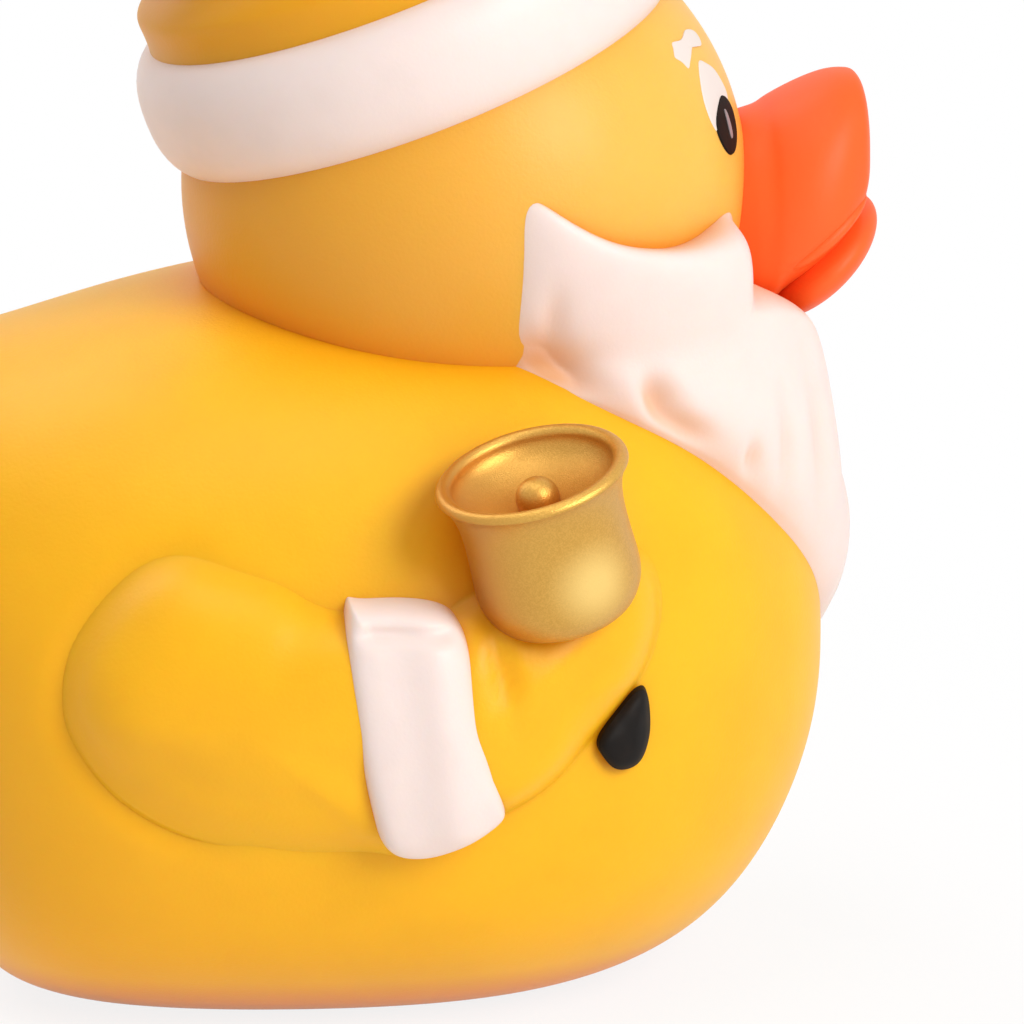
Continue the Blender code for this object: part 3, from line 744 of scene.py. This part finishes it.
def hat_axis():
    return Vector((-math.sin(HAT_TILT), 0, math.cos(HAT_TILT)))


def hat_seat():
    return head_centre() + HAT_SEAT * hat_axis()


def ball_profile(radius, rows, length=None):
    """From pole to pole along the axis, round (0, 0)."""
    length = radius if length is None else length
    angles = np.linspace(0, math.pi, rows + 1)
    profile = [(radius * math.sin(a), -length * math.cos(a)) for a in angles]
    profile[0], profile[-1] = (0, -length), (0, length)
    return profile


def head_piece():
    verts, faces = turned(ball_profile(HEAD_RADIUS, 110), head_centre(), hat_axis(), 180)
    return new_piece("head_skin", verts, faces, PALE)


def band_piece():
    middle = BAND_HEIGHT / 2 - BAND_DROP
    section = superellipse(48, BAND_THICK / 2, BAND_HEIGHT / 2, BAND_SQUARENESS)
    profile = [(BAND_RADIUS - BAND_THICK / 2 + across, middle + up) for across, up in section]
    verts, faces = turned(profile, hat_seat(), hat_axis(), 220, loop=True)
    return new_piece("hat_band", verts, faces, WHITE)


def crown_rings(rows, sides):
    """The crown's rings, its tip and the direction it ends in."""
    foot = BAND_HEIGHT - BAND_DROP
    keys = [(-BAND_DROP, CROWN_ROOT * CROWN_RADIUS, 0), (CROWN_FULL_AT * foot, CROWN_RADIUS, 0)]
    full = CROWN_TUCK * CROWN_RADIUS
    keys += [(foot + reach * CROWN_REACH, full * width, bend) for reach, width, bend in CROWN_SHAPE]
    dense = through(keys, np.linspace(0, len(keys) - 1, rows))
    centre = np.array(hat_seat())
    travelled = 0
    rings = []
    for distance, radius, bend in dense:
        lean = HAT_TILT + math.radians(bend)
        axis = Vector((-math.sin(lean), 0, math.cos(lean)))
        centre = centre + (distance - travelled) * np.array(axis)
        travelled = distance
        turn = np.array(axis.to_track_quat("Z", "Y").to_matrix())
        circle = superellipse(sides, radius, radius, 2)
        rings.append(centre + np.column_stack([circle, np.zeros(sides)]) @ turn.T)
    return np.array(rings), Vector(centre), axis


def crown_piece():
    rings, tip, end = crown_rings(110, 160)
    verts, faces = skin(rings, start=rings[0].mean(axis=0), end=tip)
    return new_piece("hat_crown", verts, faces, HAT_YELLOW), tip, end


def pompom_piece(tip, end):
    """A moulded woolly ball: small rounded tufts all over."""
    centre = tip + POMPOM_SEAT * POMPOM_RADIUS * end
    verts, faces = turned(ball_profile(POMPOM_RADIUS, 90), Vector(), Vector((0, 1, 0)), 130)
    tufted = []
    for point in verts:
        outward = Vector(point)
        cell = noise.voronoi(outward / POMPOM_TUFT)[0][0]
        tufted.append(centre + outward * (1 - POMPOM_LUMP / POMPOM_RADIUS * min(1.6 * cell**1.5, 1.5)))
    return new_piece("pompom", tufted, faces, WHITE)


# The bill

def bill_root():
    return head_centre() + Vector((HEAD_RADIUS, 0, 0))


def upper_bill_piece():
    shape = through(UPPER_BILL_SHAPE, np.linspace(0, len(UPPER_BILL_SHAPE) - 1, 90))
    reach, top, bottom, half = shape.T
    x = reach * np.where(reach > 0, BILL_REACH, BILL_ROOT)
    above = top * BILL_RISE
    below = -bottom * BILL_DROP
    widest = below + BILL_WIDEST * (above - below)
    unit = superellipse(96, 1, 1, BILL_SQUARENESS)
    across = np.maximum(half, 0)[:, None] * BILL_WIDTH / 2 * unit[None, :, 0]
    span = np.where(unit[None, :, 1] > 0, (above - widest)[:, None], (widest - below)[:, None])
    up = widest[:, None] + unit[None, :, 1] * span
    forward = np.broadcast_to(x[:, None], up.shape)
    rings = np.array(bill_root()) + np.stack([forward, across, up], axis=2)
    verts, faces = skin(rings[:-1], start=rings[0].mean(axis=0), end=rings[-1].mean(axis=0))
    return new_piece("upper_bill", verts, faces, ORANGE)


def mouth_bead_piece(word, side):
    """The raised line along one side of the mouth, fading out at both ends."""
    shape = through(UPPER_BILL_SHAPE, np.linspace(0, len(UPPER_BILL_SHAPE) - 1, 400))
    path = through(BEAD_PATH, np.linspace(0, len(BEAD_PATH) - 1, 90))
    reach = path[:, 0]
    up = path[:, 1] * MM
    above = np.interp(reach, shape[:, 0], shape[:, 1]) * BILL_RISE
    below = -np.interp(reach, shape[:, 0], shape[:, 2]) * BILL_DROP
    half = np.interp(reach, shape[:, 0], shape[:, 3]) * BILL_WIDTH / 2
    widest = below + BILL_WIDEST * (above - below)
    share = np.clip((widest - up) / (widest - below), 0, 1)
    out = half * (1 - share**BILL_SQUARENESS) ** (1 / BILL_SQUARENESS)
    fade = np.sin(np.linspace(0.02, math.pi - 0.02, len(path))) ** 0.5
    stand = smoothed(out, 20) - BEAD_SINK - (1 - fade) * BEAD_RADIUS
    line = np.stack([reach * BILL_REACH, side * stand, up], axis=1) + np.array(bill_root())
    ahead = np.gradient(line, axis=0)
    ahead /= np.linalg.norm(ahead, axis=1)[:, None]
    level = np.cross(ahead, (0, 0, 1.0))
    level /= np.linalg.norm(level, axis=1)[:, None]
    upward = np.cross(level, ahead)
    angle = 2 * math.pi * np.arange(20) / 20
    rings = [
        point + size * BEAD_RADIUS * (np.cos(angle)[:, None] * a + np.sin(angle)[:, None] * b)
        for point, a, b, size in zip(line, level, upward, fade)
    ]
    verts, faces = skin(np.array(rings), start=line[0], end=line[-1])
    return new_piece(f"{word}_mouth_bead", verts, faces, ORANGE)


def lower_bill_piece():
    direction = Vector((math.cos(LIP_TILT), 0, math.sin(LIP_TILT)))
    tip = bill_root() + Vector((BILL_REACH + 0.1 * LIP_THICK + 0.4 * LIP_FILL, 0, -LIP_LEVEL))
    upward = Vector((-direction.z, 0, direction.x))
    centre = tip - direction * LIP_LENGTH / 2 + upward * LIP_FILL / 2
    verts, faces = turned(ball_profile(1, 60), Vector(), Vector((0, 0, 1)), 96)
    turn = direction.to_track_quat("Z", "Y").to_matrix()
    sized = Matrix.Diagonal((LIP_WIDTH / 2, (LIP_THICK + LIP_FILL) / 2, LIP_LENGTH / 2))
    verts = [centre + turn @ (sized @ Vector(v)) for v in verts]
    return new_piece("lower_bill", verts, faces, ORANGE)


# The beard

def beard_eye():
    return head_centre() - Vector((BEARD_EYE_BACK, 0, BEARD_EYE_DOWN))


def surface_distance(trees, origin, direction):
    """How far out from the origin the outermost of the forms lies."""
    far = BODY_LENGTH + HEAD_RADIUS
    distances = []
    for tree in trees:
        hit = tree.ray_cast(origin + far * direction, -direction, far)
        if hit[0] is not None:
            distances.append((hit[0] - origin).length)
    return max(distances)


def beard_piece(columns=220, rows=110):
    """A sheet of beard over the cheeks, the neck and the chest, in locks with valleys between them."""
    grid, tail, chest = body_grid(100, 100)
    trees = [tree_of(*skin(grid, start=tail, end=chest))]
    trees.append(tree_of(*turned(ball_profile(HEAD_RADIUS, 90), head_centre(), hat_axis(), 140)))
    eye = beard_eye()
    across = np.linspace(-1, 1, columns + 1)
    top = value_at(BEARD_TOP, np.abs(across))
    bottom = value_at(BEARD_BOTTOM, np.abs(across))
    down = np.linspace(0, 1, rows + 1)
    front = []
    back = []
    hollows = []
    for i in range(columns + 1):
        bearing = math.radians(BEARD_HALF_SPAN * across[i])
        height = np.radians(top[i] + (bottom[i] - top[i]) * down)
        flat = np.cos(height)
        rays = np.stack([flat * math.cos(bearing), -flat * math.sin(bearing), np.sin(height)], axis=1)
        reach = np.array([surface_distance(trees, eye, Vector(ray)) for ray in rays])
        angle = math.radians(top[i] - bottom[i])
        span = reach[0] * reach[-1] * math.sin(angle) / (
            reach[0] * np.sin(angle * down) + reach[-1] * np.sin(angle * (1 - down))
        )
        side = abs(across[i])
        fullness = 1 - side**1.5
        border = np.where(down < 0.5, BEARD_UPPER_SQUARENESS, BEARD_LOWER_SQUARENESS)
        beside_bill = step_between(side, *BEARD_BILL_SPAN)
        clear_of_bill = np.maximum(beside_bill, step_between(down, *BEARD_BILL_DEPTH))
        edge = (1 - np.abs(2 * down - 1) ** border) * (1 - side**16) * clear_of_bill
        hang = smoothed(reach + fullness * clear_of_bill * np.maximum(span - reach, 0), BEARD_SMOOTHING)
        hang = np.maximum(reach, reach + (hang - reach) * np.minimum(4 * edge, 1))
        hollow = sum(
            depth * np.exp(-(((side - at) / half_width) ** 2) - ((down - at_down) / half_height) ** 2)
            for at, at_down, half_width, half_height, depth in BEARD_HOLLOWS
        )
        full = BEARD_PROUD + fullness * BEARD_FULLNESS * (1 - 0.4 * down)
        proud = np.maximum(full - hollow, BEARD_LEAST)
        # Painted shade in the hollows between the locks, as a share of their depth.
        mottle_and_shade = np.clip(hollow / BEARD_FULL_SHADE_DEPTH, 0, 1) ** 1.5
        hollows.append(np.concatenate([mottle_and_shade, np.zeros(rows + 1)]))
        front.append(np.array(eye) + rays * (hang + edge * proud - (1 - edge) * BEARD_GAP)[:, None])
        back.append(np.array(eye) + rays * (reach - BEARD_SINK)[:, None])
    front = np.array(front)
    back = np.array(back)
    loops = np.concatenate([front, back[:, ::-1]], axis=1)
    verts = [tuple(p) for p in loops.reshape(-1, 3)]
    around = loops.shape[1]
    faces = ring_faces(columns + 1, around)
    for first in (0, columns * around):
        for j in range(rows):
            opposite = around - 1 - j
            cap = (first + j, first + j + 1, first + opposite - 1, first + opposite)
            faces.append(cap if first else cap[::-1])
    obj = new_piece("beard", verts, faces, BEARD_WHITE)
    # The share of painted shade in the hollows, read by the beard's paint.
    share = obj.data.attributes.new("hollow", "FLOAT", "POINT")
    share.data.foreach_set("value", np.concatenate(hollows))
    return obj


# The arms

def relief_piece(name, outline, rise, proud, side, material, extra=None, edge_scale=None):
    """A form raised on the body's side, over rings that follow its outline inwards to its middle."""
    around = round_through(np.array(outline) * MM, 220)
    middle = around.mean(axis=0)
    radius = np.hypot(*(around - middle).T)
    keys = through(rise, np.linspace(0, len(rise) - 1, 400))
    slack = edge_scale(around - middle) if edge_scale else np.ones(len(around))
    insets = through(rise, np.linspace(0, len(rise) - 1, 44))[:, 0] * MM
    limit = RELIEF_LIMIT * radius
    moves = [limit * (1 - np.exp(-step * slack / limit)) if step > 0 else step for step in insets]
    shares = [1 - move / radius for move in moves]
    shares += [shares[-1] * (1 - k / RELIEF_INNER_RINGS) for k in range(1, RELIEF_INNER_RINGS)]
    rings = []
    for share in shares:
        distance = (1 - share) * radius / MM
        height = np.interp(np.where(distance > 0, distance / slack, distance), keys[:, 0], keys[:, 1])
        height = height + (1 - height) * smooth_step((RELIEF_LEVEL - share) / RELIEF_LEVEL)
        place = middle + (around - middle) * share[:, None]
        x = wrist()[0] + place[:, 0]
        z = wrist()[1] + place[:, 1]
        stand = proud * height + (extra(place / MM) * MM if extra else 0)
        rings.append(np.stack([x, side * (body_side(x, z) + stand), z], axis=1))
    rings = np.array(rings)
    verts, faces = skin(rings, end=rings[-1].mean(axis=0))
    return new_piece(name, verts, faces, material)


def soft_below(offset):
    """The wing's lower edge rises more gently than its upper one."""
    return 1 + SOFTER_BELOW * smooth_step(-offset[:, 1] / SOFTER_OVER)


def bump_at(place, x, z, half_x, half_z, lean):
    """A soft hump round a place, longer along one direction."""
    dx = place[:, 0] - x
    dz = place[:, 1] - z
    c, s = math.cos(lean), math.sin(lean)
    return np.exp(-(((c * dx + s * dz) / half_x) ** 2) - ((c * dz - s * dx) / half_z) ** 2)


def cuff_folds(place):
    """The cuff's ridge, and the hollow under the rim at its top."""
    x, z = place.T
    off_ridge = x - CUFF_RIDGE_AT + CUFF_RIDGE_LEAN * z
    ridge = CUFF_RIDGE_HEIGHT * np.exp(-((off_ridge / CUFF_RIDGE_HALF) ** 2))
    hollow = CUFF_HOLLOW_DEPTH * np.exp(-(((z - CUFF_HOLLOW_AT[1]) / CUFF_HOLLOW_HALF[1]) ** 2))
    hollow *= smooth_step((CUFF_HOLLOW_HALF[0] - np.abs(x - CUFF_HOLLOW_AT[0])) / CUFF_HOLLOW_FADE)
    inside = (CUFF_FOLDS_HALF - np.abs(z - CUFF_FOLDS_MIDDLE)) / CUFF_FOLDS_FADE
    return (ridge - hollow) * smooth_step(inside + 0.4)


def fist_folds(place):
    """The dimple beside the cuff and the swelling along the thumb."""
    return THUMB_HEIGHT * bump_at(place, *THUMB) - DIMPLE_DEPTH * bump_at(place, *DIMPLE)


def arm_pieces():
    for word, side in (("right", -1), ("left", 1)):
        relief_piece(
            f"{word}_wing", WING_OUTLINE, SOFT_RISE, WING_PROUD, side, YELLOW, None, soft_below
        )
        relief_piece(f"{word}_fist", FIST_OUTLINE, FIST_RISE, FIST_PROUD, side, YELLOW, fist_folds)
        relief_piece(
            f"{word}_cuff", CUFF_OUTLINE, CUFF_RISE, CUFF_PROUD, side, WHITE, cuff_folds
        )


# The bell

def bell_grip():
    place = wrist() + (GRIP_FORWARD, GRIP_UP)
    return Vector((place[0], -float(body_side(*place)), place[1]))


def bell_gold():
    """The bell's paint, with a painted highlight on its belly towards the duck's front and painted shade
    towards the duck's back.
    """
    highlight_centre = bell_grip() + (BELL_RISE + BELL_HIGHLIGHT_AT * BELL_HEIGHT) * BELL_LEAN
    highlight_centre += BELL_HIGHLIGHT_OUT * BELL_MOUTH_RADIUS * BELL_GLEAM
    forward = Vector((BELL_LEAN.z, 0, -BELL_LEAN.x)).normalized()
    middle = forward.dot(bell_grip() + (BELL_RISE + 0.5 * BELL_HEIGHT) * BELL_LEAN)
    return gold_paint(highlight_centre, (forward, middle - BELL_SHADE_START, middle - BELL_SHADE_END))


def bell_piece():
    """A turned cup with a flared mouth: the outside from the foot up, then the lip, then the bowl."""
    lip = BELL_LIP / 2
    rim = BELL_RIM * BELL_HEIGHT
    outside = through(BELL_SHAPE, np.linspace(0, len(BELL_SHAPE) - 1, 70))
    profile = [(0, 0)] + [(share * BELL_MOUTH_RADIUS, up * BELL_HEIGHT) for share, up in outside]
    for angle in np.linspace(0, math.pi, 14)[1:-1]:
        profile.append((BELL_MOUTH_RADIUS - lip + lip * math.cos(angle), rim + lip * math.sin(angle)))
    bowl_radius = BELL_MOUTH_RADIUS - BELL_LIP
    for angle in np.linspace(0, math.pi / 2, 30)[:-1]:
        profile.append((bowl_radius * math.cos(angle), rim - BELL_BOWL_DEPTH * math.sin(angle)))
    profile.append((0, rim - BELL_BOWL_DEPTH))
    verts, faces = turned(profile, bell_grip() + BELL_RISE * BELL_LEAN, BELL_LEAN, 140)
    return new_piece("bell", verts, faces, GOLD)


def clapper_piece():
    floor = BELL_RISE + BELL_RIM * BELL_HEIGHT - BELL_BOWL_DEPTH
    centre = bell_grip() + (floor + CLAPPER_RISE * CLAPPER_RADIUS) * BELL_LEAN
    profile = ball_profile(CLAPPER_RADIUS, 24)
    stem = CLAPPER_STEM * CLAPPER_RADIUS
    foot = -CLAPPER_ROOT * CLAPPER_RADIUS
    profile = [(0, foot), (stem, foot)] + [p for p in profile if p[0] > stem or p[1] > 0]
    verts, faces = turned(profile, centre, BELL_LEAN, 40)
    return new_piece("bell_clapper", verts, faces, GOLD)


def handle_piece():
    """The stub of handle between the fist and the bell's foot."""
    length = BELL_RISE + HANDLE_INTO_BELL * BELL_HEIGHT
    waist = (HANDLE_WAIST * HANDLE_RADIUS, 0.5 * length)
    profile = [(0, 0), (HANDLE_RADIUS, 0), waist, (HANDLE_RADIUS, length), (0, length)]
    verts, faces = turned(profile, bell_grip(), BELL_LEAN, 60)
    return new_piece("bell_handle", verts, faces, GOLD)


def knob_piece():
    """The end of the bell's handle, below the fist: a painted drop with its point up."""
    return relief_piece("handle_knob", KNOB_OUTLINE, KNOB_RISE, KNOB_PROUD, -1, BLACK)


# The face

def painted_patch(name, outline, side, material, layer):
    """A thin patch of paint on the head ball, with edges that dip under the skin."""
    around = round_through(outline, 96)
    middle = around.mean(axis=0)
    shares = np.concatenate([[1.03, 1.0], np.linspace(0.97, 0.06, 24)])
    rises = np.concatenate([[-2 * PAINT_THICK, 0.0], np.full(24, layer * PAINT_THICK)])
    rings = []
    for share, rise in zip(shares, rises):
        bearing, height = np.radians(middle + share * (around - middle)).T
        flat = np.cos(height)
        out = np.stack([flat * np.cos(bearing), side * flat * np.sin(bearing), np.sin(height)], axis=1)
        rings.append(np.array(head_centre()) + out * (HEAD_RADIUS + rise))
    verts, faces = skin(np.array(rings), end=np.mean(rings[-1], axis=0))
    return new_piece(name, verts, faces, material)


def face_pieces():
    for word, side in (("right", -1), ("left", 1)):
        painted_patch(f"{word}_eye_white", EYE_WHITE, side, EYE_PAINT, 1)
        painted_patch(f"{word}_pupil", PUPIL, side, PUPIL_BLACK, 2)
        # A painted reflection on each pupil.
        painted_patch(f"{word}_glint", GLINT, side, GLINT_GREY, 3)
        painted_patch(f"{word}_brow", BROW, side, EYE_PAINT, 1)


# The squeaker

def squeaker_pieces():
    neck_top = BOSS_HEIGHT + SQUEAKER_GAP
    flange_top = SQUEAKER_GAP + FLANGE_THICK
    edge = 0.2 * MM
    profile = [
        (AIR_HOLE_RADIUS, SQUEAKER_GAP + edge),
        (AIR_HOLE_RADIUS + edge, SQUEAKER_GAP),
        (FLANGE_RADIUS - edge, SQUEAKER_GAP),
        (FLANGE_RADIUS, SQUEAKER_GAP + edge),
        (FLANGE_RADIUS, flange_top),
        (NECK_RADIUS, flange_top),
        (NECK_RADIUS, neck_top),
        (BARB_RADIUS, neck_top),
        (NECK_RADIUS - SQUEAKER_GAP, neck_top + BARB_LENGTH),
        (AIR_HOLE_RADIUS, neck_top + BARB_LENGTH),
    ]
    up = Vector((0, 0, 1))
    verts, faces = turned(profile, squeaker_place(), up, 96, loop=True)
    new_piece("squeaker_insert", verts, faces, SQUEAKER_WHITE, node="squeaker", sharp=30)

    recess = 2 * SQUEAKER_GAP + FLANGE_THICK
    profile = [
        (SEAT_PLATE_RADIUS, 0.10 * MM),
        (SEAT_PLATE_RADIUS - edge, 0.005 * MM),
        (FLANGE_RADIUS + SQUEAKER_GAP + edge, 0.0),
        (FLANGE_RADIUS + SQUEAKER_GAP, edge),
        (FLANGE_RADIUS + SQUEAKER_GAP, recess),
        (NECK_RADIUS + SQUEAKER_GAP, recess),
        (NECK_RADIUS + SQUEAKER_GAP, BOSS_HEIGHT),
    ]
    verts, faces = turned(profile, squeaker_place(), up, 96)
    new_piece("squeaker_seat", verts, faces, YELLOW, sharp=30)


# The studio

def camera_axes():
    """To the right, up, and back towards the camera."""
    back = Vector((
        math.sin(CAMERA_BEARING) * math.cos(CAMERA_HEIGHT),
        -math.cos(CAMERA_BEARING) * math.cos(CAMERA_HEIGHT),
        math.sin(CAMERA_HEIGHT),
    ))
    right = Vector((math.cos(CAMERA_BEARING), math.sin(CAMERA_BEARING), 0))
    return right, back.cross(right), back


def make_camera():
    right, up, back = camera_axes()
    data = bpy.data.cameras.new("camera")
    data.sensor_width = SENSOR
    data.lens = SENSOR * CAMERA_DISTANCE / VIEW_SIZE
    data.clip_start = 10 * MM
    data.clip_end = 20
    camera = bpy.data.objects.new("camera", data)
    target = head_centre() + VIEW_RIGHT_OF_HEAD * right - VIEW_BELOW_HEAD * up
    turn = Matrix((right, up, back)).transposed().to_4x4()
    camera.matrix_world = Matrix.Translation(target + CAMERA_DISTANCE * back) @ turn
    bpy.context.scene.collection.objects.link(camera)
    bpy.context.scene.camera = camera


def area_light(name, place, size, power):
    """A round soft lamp turned to the middle of the duck."""
    data = bpy.data.lights.new(name, "AREA")
    data.shape = "DISK"
    data.size = size
    data.energy = power
    light = bpy.data.objects.new(name, data)
    light.location = place
    light.rotation_euler = (LAMP_TARGET - Vector(place)).to_track_quat("-Z", "Y").to_euler()
    bpy.context.scene.collection.objects.link(light)


def looked_at(tree):
    """A socket that is 1 for what the camera sees, also by reflection, and 0 for light that falls."""
    path = tree.nodes.new("ShaderNodeLightPath")
    seen = path.outputs["Is Camera Ray"]
    for kind in ("Is Glossy Ray", "Is Transmission Ray"):
        either = tree.nodes.new("ShaderNodeMath")
        either.operation = "MAXIMUM"
        tree.links.new(seen, either.inputs[0])
        tree.links.new(path.outputs[kind], either.inputs[1])
        seen = either.outputs[0]
    return seen


def make_world():
    """White where the camera or a reflection looks past the duck, and soft fill light elsewhere."""
    world = bpy.data.worlds.new("studio")
    bpy.context.scene.world = world
    world.use_nodes = True
    tree = world.node_tree
    background = tree.nodes["Background"]
    background.inputs["Color"].default_value = (1, 1, 1, 1)
    strength = tree.nodes.new("ShaderNodeMapRange")
    strength.inputs["To Min"].default_value = WORLD_FILL
    strength.inputs["To Max"].default_value = 1.0
    tree.links.new(looked_at(tree), strength.inputs["Value"])
    tree.links.new(strength.outputs["Result"], background.inputs["Strength"])


def make_floor():
    """A pale floor that takes the shadow near the duck, and is seen as plain white further out."""
    corners = [(FLOOR_HALF * x, FLOOR_HALF * y, 0) for x, y in ((-1, -1), (1, -1), (1, 1), (-1, 1))]
    mesh = bpy.data.meshes.new("floor")
    mesh.from_pydata(corners, [], [(0, 1, 2, 3)])
    shader = Shader("floor_white", 0.6)
    shader.surface.inputs["Base Color"].default_value = (0.95, 0.95, 0.95, 1)
    shader.surface.inputs["Specular IOR Level"].default_value = 0.2
    length = shader.add("ShaderNodeVectorMath", operation="LENGTH")
    shader.join(shader.place, length.inputs[0])
    far = shader.ranged(length.outputs["Value"], 0.05, 0.15, FLOOR_VEIL, 1.0)
    white = shader.add("ShaderNodeEmission")
    blend = shader.add("ShaderNodeMixShader")
    seen = shader.add("ShaderNodeMath", operation="MULTIPLY")
    shader.join(far, seen.inputs[0])
    shader.join(looked_at(shader.tree), seen.inputs[1])
    shader.join(seen.outputs[0], blend.inputs["Fac"])
    shader.join(shader.surface.outputs["BSDF"], blend.inputs[1])
    shader.join(white.outputs["Emission"], blend.inputs[2])
    shader.join(blend.outputs["Shader"], shader.tree.nodes["Material Output"].inputs["Surface"])
    mesh.materials.append(shader.material)
    floor = bpy.data.objects.new("floor", mesh)
    bpy.context.scene.collection.objects.link(floor)


make_camera()
make_world()
make_floor()
for lamp in LAMPS:
    area_light(*lamp)
bpy.context.scene.view_settings.view_transform = "Standard"

body_piece()
head_piece()
band_piece()
crown, crown_tip, crown_end = crown_piece()
pompom_piece(crown_tip, crown_end)
upper_bill_piece()
mouth_bead_piece("right", -1)
mouth_bead_piece("left", 1)
lower_bill_piece()
beard_piece()
arm_pieces()
GOLD = bell_gold()
bell_piece()
clapper_piece()
handle_piece()
knob_piece()
face_pieces()
squeaker_pieces()
